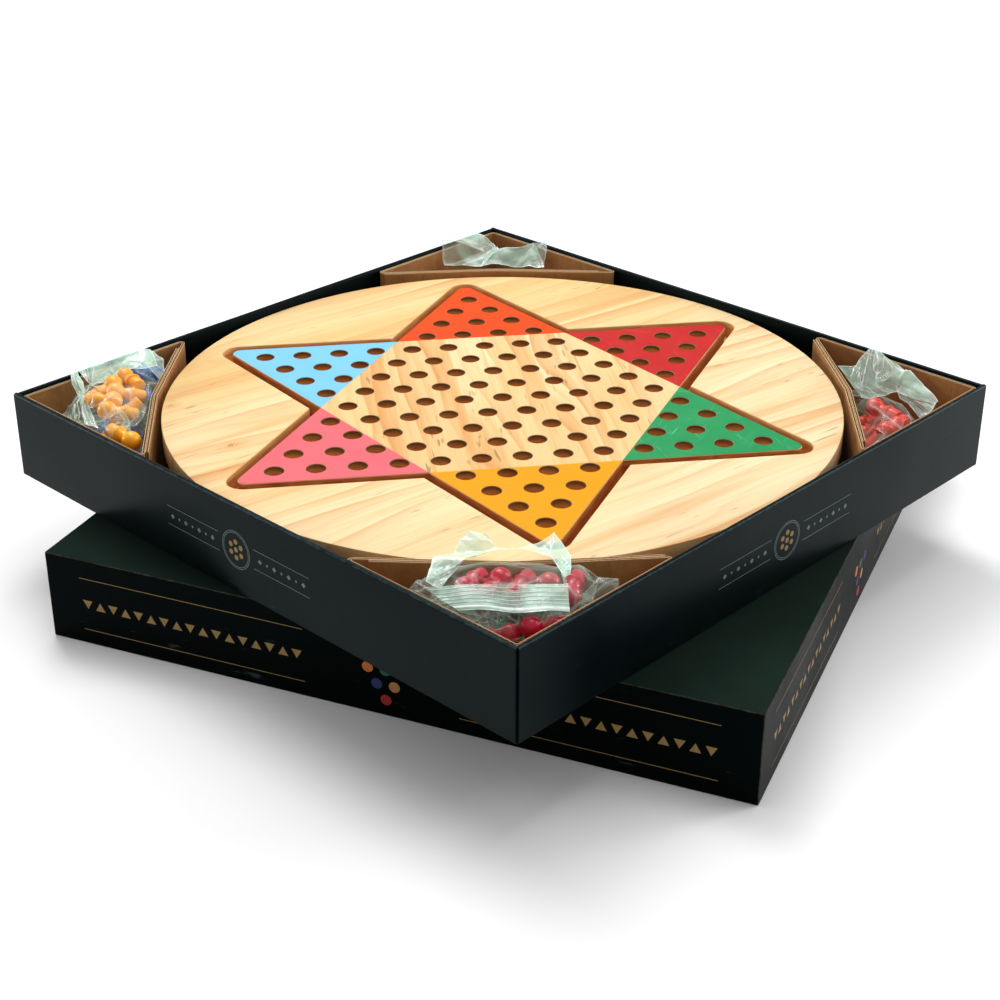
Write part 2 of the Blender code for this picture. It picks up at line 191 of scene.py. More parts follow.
def fill(shape, loops):
    """A flat face bounded by an outer loop and the loops of its holes."""
    edges = []
    for loop in loops:
        for vert, other in zip(loop, loop[1:] + loop[:1]):
            edges.append(shape.edges.get((vert, other)) or shape.edges.new((vert, other)))
    bmesh.ops.triangle_fill(shape, use_beauty=True, use_dissolve=False, edges=edges)


def paint_faces(shape, before, index):
    """Give a material's index to the faces made since there were so many before."""
    shape.faces.ensure_lookup_table()
    for face in shape.faces[before:]:
        face.material_index = index


def turned(quarter, spot=(0.0, 0.0, 0.0), centre=(0.0, 0.0, 0.0), turn=0.0):
    """A place at spot, swung by quarter turns about a centre."""
    swing = Matrix.Rotation(turn + pi / 2 * quarter, 4, "Z")
    return Matrix.Translation(centre) @ swing @ Matrix.Translation(spot)


# --- material nodes ------------------------------------------------------------------


def operator(operation, swapped=False):
    """A method that adds a Math node."""
    def method(value, other=0.0):
        return value.nodes.math(operation, *((other, value) if swapped else (value, other)))
    return method


class Value:
    """A node's output to write sums with: each operator adds a Math node."""

    def __init__(self, nodes, socket):
        self.nodes = nodes
        self.socket = socket

    __add__ = operator("ADD")
    __sub__ = operator("SUBTRACT")
    __rsub__ = operator("SUBTRACT", swapped=True)
    __mul__ = operator("MULTIPLY")
    __truediv__ = operator("DIVIDE")
    __pow__ = operator("POWER")
    __gt__ = operator("GREATER_THAN")
    __abs__ = operator("ABSOLUTE")


class Nodes:
    """A small builder for one material's node tree."""

    def __init__(self, name):
        self.material = bpy.data.materials.new(name)
        self.material.use_nodes = True
        self.tree = self.material.node_tree
        self.shader = self.tree.nodes["Principled BSDF"]

    def plug(self, value, socket):
        if isinstance(value, Value):
            self.tree.links.new(value.socket, socket)
        else:
            socket.default_value = value

    def add(self, kind, inputs, output=0, **settings):
        """Add a node and fill its inputs. Gives one of its outputs."""
        node = self.tree.nodes.new("ShaderNode" + kind)
        assign(node, **settings)
        for key, value in inputs.items():
            self.plug(value, node.inputs[key])
        return Value(self, node.outputs[output])

    def math(self, operation, first, second=0.0, clamp=False):
        return self.add("Math", {0: first, 1: second}, operation=operation, use_clamp=clamp)

    def length(self, vector):
        return self.add("VectorMath", {0: vector}, "Value", operation="LENGTH")

    def join(self, x, y, z):
        return self.add("CombineXYZ", {0: x, 1: y, 2: z})

    def split(self, vector):
        """The three parts of a vector."""
        node = self.add("SeparateXYZ", {0: vector}).socket.node
        return [Value(self, socket) for socket in node.outputs]

    def spot(self, turn=0.0, centre=(0.0, 0.0, 0.0), scale=(1.0, 1.0, 1.0)):
        """Object coordinates with X turned to an angle about Z, then stretched."""
        inputs = {
            "Vector": self.add("TexCoord", {}, "Object"), "Location": centre, "Rotation": (0.0, 0.0, turn)}
        turned_back = self.add("Mapping", inputs, vector_type="TEXTURE")
        return self.add("Mapping", {"Vector": turned_back, "Scale": scale})

    def normal_z(self):
        return self.split(self.add("NewGeometry", {}, "True Normal"))[2]

    def noise(self, scale, detail=2.0, roughness=0.5, distortion=0.0, turn=0.0, vector=None):
        """Noise over the object coordinates, stretched where scale has three parts."""
        if isinstance(scale, tuple):
            vector = self.spot(turn, scale=scale)
            scale = 1.0
        inputs = {"Vector": vector or self.spot(turn), "Scale": scale, "Detail": detail,
                  "Roughness": roughness, "Distortion": distortion}
        return self.add("TexNoise", inputs, "Fac")

    def ramp(self, factor, *stops):
        """A grey ramp through (position, level) stops."""
        result = self.add("ValToRGB", {"Fac": factor}, "Color")
        elements = result.socket.node.color_ramp.elements
        while len(elements) < len(stops):
            elements.new(0.5)
        for element, (position, level) in zip(elements, stops):
            element.position = position
            element.color = (level, level, level, 1.0)
        return result

    def mix(self, factor, first, second):
        """Mix two colours. A tuple is a screen colour from 0 to 255."""
        first, second = (srgb(*colour) if isinstance(colour, tuple) else colour for colour in (first, second))
        return self.add("Mix", {0: factor, 6: first, 7: second}, 2, data_type="RGBA")

    def layer(self, colour, *coats):
        """Lay (share, screen colour) coats over a colour, one after another."""
        for share, tint in coats:
            colour = self.mix(share, colour, tint)
        return colour

    def set(self, **values):
        """Set or link sockets of the Principled BSDF: spaces are written as _."""
        for key, value in values.items():
            self.plug(value, self.shader.inputs[key.replace("_", " ")])

    def see_through(self, tint, share):
        """Show only a share of the shader, over clear plastic of a tint."""
        clear = self.add("BsdfTransparent", {"Color": tint})
        both = self.add("MixShader", {0: share, 1: clear, 2: Value(self, self.shader.outputs[0])})
        self.plug(both, self.tree.nodes["Material Output"].inputs["Surface"])

    def finish(self, colour, roughness, specular, height, strength, reach, **others):
        """Set the shader's sockets and its bump, which reaches so many mm, and give the material."""
        bumped = self.add("Bump", {"Height": height, "Strength": strength, "Distance": reach * MM})
        self.set(Base_Color=colour, Roughness=roughness, Specular_IOR_Level=specular, Normal=bumped,
                 **others)
        return self.material


def pine_material(name, turn, walls, strip_width=None, knots=(), tone=0.0):
    """Flat-sawn pine with its grain along an angle; strips of it if a width is given.

    walls has the colours of bored or routed wood: high on a wall, low on it, and below; on the pocket's and
    the star's outer walls the change from high to low is painted shade."""
    nodes = Nodes(name)
    grain = nodes.spot(turn)
    start_along, start_across, up = nodes.split(grain)
    along, across = start_along, start_across
    for knot_along, knot_across, reach in knots:
        far_along = (along - knot_along) * 0.42
        far_across = across - knot_across
        far = nodes.math("SQRT", far_along ** 2.0 + far_across ** 2.0)
        pull = nodes.math("EXPONENT", far * (-1.0 / (reach * 2.2)))
        across = across - nodes.math("SIGN", far_across) * (pull * (reach * 1.6))
    if strip_width:
        strip = nodes.math("FLOOR", (across + 11 * MM) / strip_width)
        chance = nodes.add("TexWhiteNoise", {"W": strip}, "Value", noise_dimensions="1D")
        along = along + chance * 3.0
        across = across + chance * 0.7

    def spread(long_scale, cross_scale, deep_scale=0.0, detail=2.0, roughness=0.5):
        place = nodes.join(along * long_scale, across * cross_scale, up * deep_scale)
        return nodes.noise(1.0, detail, roughness, vector=place)

    wander = spread(2.6, 12.0, 10.0)
    fibres = spread(16.0, 850.0, 500.0, 3.0, 0.6)
    rings = across * 46.0 + up * 40.0 + wander * 4.2
    late = nodes.ramp(
        nodes.math("FRACT", rings), (0.0, 0.0), (0.45, 0.12), (0.84, 0.70), (0.95, 1.0), (1.0, 0.0))
    fine = nodes.ramp(nodes.math("FRACT", rings * 3.0), (0.0, 0.0), (0.55, 0.1), (0.93, 0.8), (1.0, 0.0))
    patches = nodes.ramp(spread(4.0, 17.0), (0.38, 0.10), (0.66, 1.0))
    streaks = nodes.ramp(spread(3.0, 60.0, 20.0, 4.0, 0.62), (0.52, 0.0), (0.66, 1.0))
    dull = nodes.math("SUBTRACT", 0.62, fibres, clamp=True)
    flecks = nodes.ramp(spread(75.0, 560.0, 500.0, 0.0), (0.73, 0.0), (0.80, 1.0))
    flecks = flecks * nodes.ramp(spread(9.0, 30.0), (0.48, 0.0), (0.62, 1.0))
    colour = nodes.mix(nodes.ramp(wander, (0.35, 0.0), (0.65, 1.0)), (245, 222, 170), (232, 196, 130))
    if strip_width:
        colour = nodes.mix(chance * 0.40, colour, (224, 176, 108))
    else:
        # The disc turns paler towards one side: a painted sheen.
        x, y, _ = nodes.split(nodes.spot(0.0, DISC_CENTRE))
        pale = nodes.ramp((x + y * 0.5) / DISC_RADIUS, (0.30, 0.0), (0.72, 0.42))
        colour = nodes.mix(pale, colour, (252, 240, 208))
    colour = nodes.layer(
        colour, (late * patches * 0.85, (212, 140, 62)), (fine * patches * 0.34, (204, 134, 60)),
        (streaks * (0.46 + tone), (218, 152, 76)), (dull * 0.50, (206, 148, 86)),
        (flecks * 0.62, (142, 84, 36)))
    for knot_along, knot_across, reach in knots:
        far = nodes.length(nodes.join((start_along - knot_along) * 0.62, start_across - knot_across, 0.0))
        far = far + (nodes.noise(420.0, vector=grain) - 0.5) * (reach * 0.8)
        halo = nodes.ramp(far / (reach * 3.0), (0.0, 0.9), (0.30, 0.6), (1.0, 0.0))
        heart = nodes.ramp(far / reach, (0.0, 1.0), (0.55, 0.8), (0.95, 0.0))
        cracks = nodes.ramp(nodes.noise((500.0, 1300.0, 500.0), turn=turn), (0.50, 0.0), (0.60, 1.0))
        colour = nodes.layer(
            colour, (halo * 0.55, (226, 150, 70)), (heart * cracks * 0.85, (132, 62, 20)))
    side = nodes.ramp(abs(nodes.normal_z()), (0.60, 1.0), (0.93, 0.0))
    # Wall colour changes with depth: on the pocket's and the star's outer walls the darker low colour is
    # painted shade.
    depth = nodes.math("DIVIDE", DISC_HIGH.z - up, HOLE_DEPTH, clamp=True)
    deep = nodes.ramp(depth, (0.02, 0.0), (0.55, 1.0), (1.0, 1.0))
    char = nodes.ramp(spread(60.0, 60.0, 420.0, 3.0), (0.3, 0.0), (0.7, 1.0))
    high_wall, low_wall, below = walls
    wall_burn_and_shade = nodes.mix(deep, nodes.mix(char, *high_wall), nodes.mix(char, *low_wall))
    outside = nodes.length(nodes.spot(0.0, DISC_CENTRE)) > DISC_RADIUS - 3 * MM
    wall_burn_and_shade = nodes.mix(outside, wall_burn_and_shade, nodes.mix(0.35, colour, (196, 134, 74)))
    flat_floor = (depth > 0.5) * 0.9 * (1.0 - side)
    colour = nodes.mix(side, colour, wall_burn_and_shade)
    colour = nodes.mix(flat_floor * (1.0 - outside), colour, below)
    gloss = nodes.ramp(fibres, (0.2, 0.40), (0.8, 0.58))
    return nodes.finish(colour, gloss, 0.30, fibres + late, 0.18, 0.3)


def paint_material(name, colour, worn, scratches):
    """Satin paint on wood: grain just reads through it, and scratches lighten it."""
    nodes = Nodes(name)
    grain = nodes.noise((14.0, 420.0, 420.0), 3.0, 0.6, turn=STAR_GRAIN)
    cloud = nodes.noise(38.0, 3.0, 0.6)
    shade = nodes.mix(cloud * (0.30 if scratches > 0.4 else 0.55), colour, worn)
    scratch = 0.0
    if scratches:
        for turn in (0.5, 1.9, 2.7):
            lines = nodes.noise((28.0, 620.0, 1.0), 1.0, 0.5, 0.6, turn)
            scratch = nodes.math("MAXIMUM", scratch, nodes.ramp(lines, (0.66, 0.0), (0.74, scratches)))
        scratch = scratch * nodes.ramp(nodes.noise(55.0, turn=0.3), (0.42, 0.0), (0.60, 1.0))
        shade = nodes.mix(scratch, shade, worn)
    gloss = nodes.ramp(cloud, (0.3, 0.40), (0.7, 0.55))
    return nodes.finish(shade, gloss, 0.12, grain - scratch, 0.15, 0.2)


def laminate_material(name, box, colour, dusty, specular, edge, edge_reach, panel=None):
    """Black printed card under a satin film: faint dust, and a lighter line along a box's edges, worn card
    that on the tray's rim is also a painted highlight.

    box is its centre, half side, turn and top; panel the two shades of a painted sheen on its top face."""
    nodes = Nodes(name)
    centre, half, turn, top = box
    fine = nodes.noise(1400.0)
    cloud = nodes.noise(16.0, 4.0, 0.6)
    blotch = nodes.ramp(nodes.noise(70.0, 3.0, 0.6, turn=0.8), (0.35, 0.0), (0.75, 1.0))
    x, y, z = nodes.split(nodes.spot(turn, centre))
    gaps = [abs(half - abs(x)), abs(half - abs(y)), abs(top - centre[2] - z)]
    least, most = (nodes.math(way, nodes.math(way, gaps[0], gaps[1]), gaps[2])
                   for way in ("MINIMUM", "MAXIMUM"))
    second = gaps[0] + gaps[1] + gaps[2] - least - most
    broken = nodes.noise(260.0, 3.0, 0.6)
    reach = (second - (broken - 0.45) * (1.6 * edge_reach)) * (1.0 / edge_reach)
    # Lighter along the edges: worn card, and on the tray's rim also a painted highlight.
    wear_and_highlight = nodes.ramp(reach, (0.0, 1.0), (0.55, 0.55), (1.0, 0.0))
    scuff = nodes.noise((40.0, 40.0, 260.0), 3.0, 0.7, turn=0.2)
    low_scuff = nodes.ramp(scuff, (0.66, 0.0), (0.74, 1.0))
    near_base = nodes.ramp((z + centre[2]) / top, (0.0, 1.0), (1.0, 0.0))
    colour = nodes.mix(cloud * 0.8, colour, dusty)
    colour = nodes.layer(colour, (blotch * 0.25, dusty), (wear_and_highlight * 0.55, edge),
                         (low_scuff * near_base * 0.10, (150, 165, 165)))
    # The top face is painted lighter and greener from panel: a painted sheen.
    if panel:
        level = nodes.ramp(nodes.normal_z(), (0.90, 0.0), (0.98, 1.0))
        colour = nodes.mix(level, colour, nodes.mix(cloud, *panel))
    gloss = nodes.ramp(cloud, (0.3, 0.30), (0.7, 0.42))
    return nodes.finish(colour, gloss, specular, fine + cloud * 3.0, 0.12, 0.2,
                        Specular_Tint=srgb(170, 222, 232))


def kraft_material(name, light, dark, top=1.0):
    """Brown liner paper: long fibres, cloudy pulp, faint stripes of painted shade along the flutes beneath,
    rubbed pale along its top edge.
    """
    nodes = Nodes(name)
    fibres = nodes.noise((500.0, 500.0, 120.0), 3.0, 0.65, turn=0.3)
    pulp = nodes.noise(60.0, 4.0, 0.6)
    # Stripes along the flutes under the liner: painted shade of the ribs, and part of the bump.
    flutes = nodes.noise((300.0, 300.0, 2.0), 0.0, turn=0.78)
    below = (top - nodes.split(nodes.spot())[2]) / (0.7 * MM) - (pulp - 0.5) * 3.0
    shade = nodes.layer(
        nodes.mix(nodes.ramp(pulp, (0.3, 0.0), (0.7, 1.0)), light, dark),
        (nodes.ramp(fibres, (0.55, 0.0), (0.75, 1.0)) * 0.35, (110, 72, 40)), (flutes * 0.16, (96, 60, 30)),
        (nodes.ramp(below, (0.2, 1.0), (1.0, 0.0)) * 0.7, (224, 196, 156)))
    return nodes.finish(shade, 0.82, 0.2, fibres + flutes, 0.25, 0.2)


def peg_material(name, colour, deep):
    nodes = Nodes(name)
    cloud = nodes.noise(90.0)
    gloss = nodes.ramp(cloud, (0.3, 0.22), (0.7, 0.34))
    return nodes.finish(nodes.mix(cloud, colour, deep), gloss, 0.5, nodes.noise(700.0), 0.06, 0.2,
                        Subsurface_Weight=0.04, Subsurface_Scale=3 * MM)


def ink_material(name, colour, faded):
    nodes = Nodes(name)
    cloud = nodes.noise(600.0, 3.0, 0.6)
    gloss = nodes.ramp(cloud, (0.3, 0.38), (0.7, 0.55))
    return nodes.finish(nodes.mix(cloud, colour, faded), gloss, 0.25, cloud, 0.1, 0.1)


def film_material(name, least, cloudy, folded):
    """Thin clear film: see-through, whiter where it turns away and in patches, and whiter on folds, partly
    from film doubled over and partly as painted highlight.
    """
    nodes = Nodes(name)
    crease = nodes.noise(130.0, 3.0, 0.55, 1.2)
    streaks = nodes.noise((60.0, 240.0, 110.0), 2.0, 0.5, 1.0, 0.7)
    fold = nodes.add("Attribute", {}, "Fac", attribute_name="fold")
    glance = nodes.ramp(nodes.add("LayerWeight", {"Blend": 0.30}, "Facing"), (0.35, 0.0), (0.95, 1.0))
    patches = nodes.noise((34.0, 34.0, 34.0), 2.0, 0.5, 0.8, 0.4)
    patches = nodes.ramp(patches, (0.40, 0.0), (0.62, 1.0))
    share = glance * 0.30 + least + patches * cloudy
    # Folds get a whiter, more opaque share: partly film doubled over and creased, partly a painted highlight.
    share = nodes.math("ADD", share, fold ** 2.0 * folded, clamp=True)
    nodes.see_through((0.985, 1.0, 0.99, 1.0), share)
    # The fold mask also whitens the tint: partly a painted highlight.
    tint = nodes.mix(fold, (206, 248, 226), (248, 255, 252))
    return nodes.finish(tint, 0.13, 0.8, crease + streaks * 0.4, 0.5, 0.8)


def rib_material(name):
    """The thicker, milkier plastic of a zip."""
    nodes = Nodes(name)
    haze = nodes.noise(240.0)
    nodes.see_through((0.97, 0.985, 0.98, 1.0), nodes.ramp(haze, (0.3, 0.65), (0.7, 0.9)))
    return nodes.finish(nodes.mix(haze, (226, 240, 232), (250, 252, 250)), 0.22, 0.7, haze, 0.2, 0.3)


# --- board ---------------------------------------------------------------------------

STAR_APOTHEM = 2 * sqrt(3) * PITCH      # of the hexagon that the points stand on, less its margin


def star_outline(margin, tip_radius, segments):
    apothem = STAR_APOTHEM + margin
    points = []
    for index in range(12):
        reach = apothem / cos(radians(30)) if index % 2 else 2 * apothem
        points.append(polar(reach, radians(-30 + 30 * index)))
    return rounded(points, [tip_radius, 0.6 * MM] * 6, segments)


def on_board(outline):
    """From the board's own axes to the frame's."""
    turn = Matrix.Rotation(BOARD_TURN, 2)
    return [turn @ Vector(point) + DISC_CENTRE.xy for point in outline]


def peg_holes():
    """Hole centres in the frame: the hexagon's, then each point's, its tip last."""
    across = Vector((PITCH, 0.0))
    up = Vector((PITCH / 2, PITCH * sqrt(3) / 2))
    hexagon = [i * across + j * up for i in range(-4, 5) for j in range(-4, 5) if abs(i + j) <= 4]
    points = []
    for index in range(6):
        turn = radians(-30 + 60 * index)
        outward = polar(PITCH * sqrt(3) / 2, turn)
        sideways = polar(PITCH, turn + pi / 2)
        points.append(on_board(outward * (4 + row) + sideways * (place - (4 - row) / 2)
                               for row in range(1, 5) for place in range(5 - row)))
    return on_board(hexagon), points


# Along the grain, across it, and radius, in the grain's own axes.
KNOTS = ((-171.9 * MM, 43.7 * MM, 2.6 * MM), (-173.9 * MM, 109.8 * MM, 2.0 * MM))


def build_disc():
    """The round board with its star-shaped pocket."""
    top, bottom = DISC_HIGH.z, DISC_LOW.z
    edge = 0.7 * MM
    lip = 0.35 * MM
    shape = bmesh.new()
    rim = [(edge, bottom), (0.2 * edge, bottom + 0.3 * edge), (0.0, bottom + edge), (0.0, top - edge),
           (0.3 * edge, top - 0.3 * edge), (edge, top)]
    rims = [add_loop(shape, circle(DISC_CENTRE.xy, DISC_RADIUS - inset, 288), height)
            for inset, height in rim]
    skin(shape, rims, (0,))
    walls = []
    for out, height in ((lip, top), (0.0, top - lip), (0.0, top - POCKET_DEPTH)):
        outline = star_outline(STAR_MARGIN + GROOVE + out, POCKET_TIP_RADIUS + out, 12)
        walls.append(add_loop(shape, on_board(outline), height))
    skin(shape, walls, (-1,))
    fill(shape, [rims[-1], walls[0]])
    # Routed walls, darker low down: that darkening is painted shade.
    routed = (((232, 172, 100), (252, 210, 150)), ((196, 122, 60), (230, 172, 104)), (226, 164, 96))
    wood = pine_material("disc_pine", DISC_GRAIN, routed, knots=KNOTS)
    add_mesh("disc", shape, [wood], "board", smooth=35, node="board_disc")


# Each point's paint: fresh, worn, and how strong its scratches are.
PAINTS = {
    "green": ((4, 136, 70), (100, 196, 144), 0.65),
    "crimson": ((184, 12, 20), (224, 84, 70), 0.60),
    "orange": ((238, 66, 4), (244, 88, 20), 0.0),
    "blue": ((116, 192, 232), (140, 206, 240), 0.0),
    "pink": ((224, 94, 104), (240, 128, 132), 0.15),
    "amber": ((240, 154, 0), (246, 164, 0), 0.0),
}
PAINT_COAT = 0.10 * MM
PAINT_GAP = 0.01 * MM            # under a coat, so that it doesn't lie in the wood's own face
STAR_TOP = DISC_HIGH.z - PAINT_COAT
HOLE_LIP = 0.30 * MM


def build_star(hexagon, points):
    """The star with its chamfered blind holes."""
    shape = bmesh.new()
    walls = []
    for out, height in ((-HOLE_LIP, STAR_TOP), (0.0, STAR_TOP - HOLE_LIP), (0.0, STAR_LOW.z)):
        outline = star_outline(STAR_MARGIN + out, STAR_TIP_RADIUS, 8)
        walls.append(add_loop(shape, on_board(outline), height))
    skin(shape, walls, (-1,))
    mouths = []
    hole = ((HOLE_RADIUS + HOLE_LIP, STAR_TOP), (HOLE_RADIUS, STAR_TOP - HOLE_LIP),
            (HOLE_RADIUS, STAR_TOP - HOLE_DEPTH + 1.2 * MM))
    for centre in hexagon + [spot for spots in points for spot in spots]:
        before = len(shape.faces)
        rings = [add_loop(shape, circle(centre, radius, 32), height) for radius, height in hole]
        skin(shape, rings, ())
        point = shape.verts.new((centre.x, centre.y, STAR_TOP - HOLE_DEPTH))
        for vert, after in zip(rings[-1], rings[-1][1:] + rings[-1][:1]):
            shape.faces.new((vert, after, point))
        paint_faces(shape, before, 1)
        mouths.append(rings[0])
    fill(shape, [walls[0]] + mouths)
    # The sawn walls darken low down as painted shade; the holes' walls run from near-black under the rim to
    # tan lower down.
    sawn = (((160, 92, 42), (206, 146, 88)), ((140, 68, 26), (184, 112, 58)), (252, 226, 176))
    bored = (((22, 6, 1), (56, 20, 6)), ((190, 122, 62), (228, 168, 100)), (226, 174, 112))
    woods = [pine_material("star_pine", STAR_GRAIN, sawn, strip_width=STRIP_WIDTH, tone=0.26),
             pine_material("bored_pine", STAR_GRAIN, bored, tone=0.26)]
    add_mesh("star", shape, woods, "board", smooth=35, node="board_star")


def build_coats(points):
    """A thin coat of paint on each of the star's points, open over its holes."""
    apothem = STAR_APOTHEM + STAR_MARGIN
    tip = 2 * apothem - 2 * HOLE_LIP
    half_base = (tip - apothem) * tan(radians(30))
    triangle = rounded([(tip, 0.0), (apothem, half_base), (apothem, -half_base)],
                       [STAR_TIP_RADIUS - HOLE_LIP, 0.0, 0.0], 8)
    for index, name in enumerate(POINT_NAMES):
        turn = Matrix.Rotation(radians(-30 + 60 * index), 2)
        shape = bmesh.new()
        outlines = [on_board(turn @ point for point in triangle)]
        outlines += [circle(centre, HOLE_RADIUS + HOLE_LIP, 32) for centre in points[index]]
        loops = [[add_loop(shape, outline, STAR_TOP + rise) for rise in (PAINT_GAP, PAINT_COAT)]
                 for outline in outlines]
        for low, high in loops:
            bridge(shape, low, high)
        for level in zip(*loops):
            fill(shape, level)
        paint = paint_material("paint_" + name, *PAINTS[name])
        add_mesh("coat_" + name, shape, [paint], "board", node="field_" + name)


# --- tray, lid and inserts -----------------------------------------------------------

TRAY_MIDDLE = Vector((TRAY_CENTRE.x, TRAY_CENTRE.y, 0.0))
# The gap left by each wall at its start and at its end in mm, anticlockwise from -Y: an
# open seam at the front corner, and tight ones elsewhere.
SEAMS = ((0.4, 1.2), (1.3, 0.4), (0.4, 0.4), (0.5, 0.4))


def build_tray():
    """Four rolled walls round a base: their corners meet in open seams."""
    # Its edges are lighter: partly worn card, partly a painted highlight along the rolled rim.
    black = laminate_material(
        "tray_laminate", (TRAY_CENTRE, TRAY_HALF, 0.0, TRAY_HIGH.z), (1, 4, 6), (5, 14, 16), 0.09,
        (74, 92, 92), 1.0 * MM)
    low, high = TRAY_LOW.z, TRAY_HIGH.z
    radius = TRAY_WALL / 2
    section = [(0.0, low + 0.5 * MM), (0.5 * MM, low), (TRAY_WALL, low), (TRAY_WALL, high - radius)]
    section += [(radius + radius * cos(pi * step / 8), high - radius + radius * sin(pi * step / 8))
                for step in range(1, 8)]
    section.append((0.0, high - radius))
    stations = 60
    for side, (start, finish) in enumerate(SEAMS):
        length = 2 * TRAY_HALF - (start + finish) * MM
        shape = bmesh.new()
        rings = []
        for station in range(stations + 1):
            along = -TRAY_HALF + start * MM + length * station / stations
            ring = []
            for depth, height in section:
                lift = (height - low) / (high - low)
                sway = noise.noise(Vector((along * 9, side * 7.0, height * 12))) * 0.5 * MM * lift
                rise = noise.noise(Vector((along * 14, side * 5.0, 3.0))) * 0.25 * MM * lift
                ring.append(shape.verts.new(
                    (along, -TRAY_HALF + max(depth + sway, 0.0), height + min(rise, 0.0))))
            rings.append(ring)
        skin(shape, rings)
        add_mesh(f"tray_wall_{side + 1}", shape, [black], "tray", smooth=40,
                 node="tray_shell", place=turned(side, centre=TRAY_MIDDLE))
    base = bmesh.new()
    inner = TRAY_HALF - 1.2 * MM
    outline = [Vector(corner) * inner + TRAY_CENTRE.xy for corner in ((-1, -1), (1, -1), (1, 1), (-1, 1))]
    skin(base, [add_loop(base, outline, low + rise) for rise in (0.2 * MM, 1.8 * MM)])
    add_mesh("tray_base", base, [black], "tray", node="tray_shell")


def finish_lid():
    # The lid's top face takes a lighter, greener panel colour: a painted sheen.
    repaint("lid_shell", laminate_material(
        "lid_laminate", (Vector((0, 0, 0)), LID_HALF, LID_TURN, LID_HIGH.z), (1, 2, 2), (5, 8, 7), 0.025,
        (92, 90, 82), 0.6 * MM, ((17, 28, 23), (30, 45, 38))))


PRINT_THICK = 0.06 * MM


def print_shape(shape, outer, inner=None, index=0):
    """A flat printed shape on a wall: X along it, Y out of it, Z up. inner cuts a hole."""
    before = len(shape.faces)
    back, front = ([[shape.verts.new((x, out, z)) for x, z in ring] for ring in (outer, inner) if ring]
                   for out in (0.0, -PRINT_THICK))
    for low, high in zip(back, front):
        bridge(shape, low, high)
    if inner:
        bridge(shape, *front)
    else:
        shape.faces.new(front[0])
    paint_faces(shape, before, index)


def print_rule(shape, start, finish, height, thick):
    low, high = height - thick / 2, height + thick / 2
    print_shape(shape, [(start, low), (finish, low), (finish, high), (start, high)])


def print_ring(shape, centre, outer, inner=0.0, index=0):
    print_shape(shape, circle(centre, outer, 48), circle(centre, inner, 48) if inner else None, index)


def print_tray_side(shape, shift):
    """A ring with seven dots between thin rules, and a row of small diamonds each side."""
    middle = 25.5 * MM
    for level in (middle - 5.6 * MM, middle + 5.6 * MM):
        for start, finish in ((-57, -14), (14, 57)):
            print_rule(shape, shift + start * MM, shift + finish * MM, level, 0.3 * MM)
    for outer in (11.0 * MM, 10.0 * MM):
        print_ring(shape, (shift, middle), outer, outer - 0.35 * MM)
    for spot in circle((shift, middle), 4.6 * MM, 6, radians(30)) + [Vector((shift, middle))]:
        print_ring(shape, spot, 1.5 * MM, index=1)
    for step in range(7):
        for way in (-1, 1):
            x = shift + way * (19 + 5.6 * step) * MM
            reach = (1.5, 0.9)[step % 2] * MM
            print_shape(shape, [(x - reach, middle), (x, middle - reach), (x + reach, middle),
                                (x, middle + reach)])


def print_lid_side(shape):
    """A triangle of six dots, and a row of gold triangles between rules on each side."""
    for row, spots in enumerate(((-7, 3, 13), (-2, 8), (3,))):
        for place, x in enumerate(spots):
            print_ring(shape, (x * MM, (27.4 - 8.9 * row) * MM), 3.1 * MM, index=row * 2 + place + 1)
    for start, finish in ((-180, -44), (44, 180)):
        for level in (41, 9):
            print_rule(shape, start * MM, finish * MM, level * MM, 0.4 * MM)
        for step in range(17):
            x = (start + 4 + 8 * step) * MM
            rise = (2.6 if step % 2 else -2.6) * MM
            print_shape(shape, [(x - 3 * MM, 25 * MM - rise), (x + 3 * MM, 25 * MM - rise),
                                (x, 25 * MM + rise)])


def build_prints():
    """Generic print on the walls of the tray and the lid."""
    grey = ink_material("print_grey", (112, 126, 122), (70, 84, 82))
    gold = ink_material("print_gold", (150, 118, 62), (112, 92, 52))
    dots = [ink_material("print_" + name, colour, tuple(0.75 * part for part in colour))
            for name, colour in (("orange", (206, 112, 40)), ("green", (24, 92, 56)), ("blue", (34, 46, 104)),
                                 ("tan", (190, 128, 76)), ("red", (170, 34, 34)))]
    for body, turn, centre, spot, inks in (
            ("tray", 0.0, TRAY_MIDDLE, (0.0, -TRAY_HALF, TRAY_LOW.z), [grey, gold]),
            ("lid", LID_TURN, (0.0, 0.0, 0.0), (0.0, -LID_HALF, LID_LOW.z), [gold] + dots)):
        for side in range(4):
            shape = bmesh.new()
            if body == "tray":
                print_tray_side(shape, 6 * MM if side == 1 else 0.0)
            else:
                print_lid_side(shape)
            add_mesh(f"print_{body}_{side + 1}", shape, inks, body,
                     place=turned(side, spot, centre, turn))


def insert_path(leg, side, kink):
    """The middle line of an insert's card, in its corner's own axes: flap, then ring."""
    ply = INSERT_CARD + 0.4 * MM

    def long_side(shift):
        step = shift * sqrt(2)
        crease = (leg + side - 2 * kink / sqrt(2) - step) / 2
        return Vector((leg - step, side)), Vector((crease, crease)), Vector((side, leg - step))

    inner_x, inner_crease, inner_y = long_side(ply)
    outer_x, outer_crease, outer_y = long_side(0.0)
    short = inner_y + (inner_crease - inner_y).normalized() * 10 * MM
    stop = outer_x + (outer_crease - outer_x).normalized() * 7 * MM
    points = [short, inner_crease, inner_x, Vector((side, side)), outer_y, outer_crease, stop]
    radii = [0.0, 1 * MM, INSERT_CARD, INSERT_CARD, INSERT_CARD, 1 * MM, 0.0]
    return rounded(points, radii, 5, closed=False)


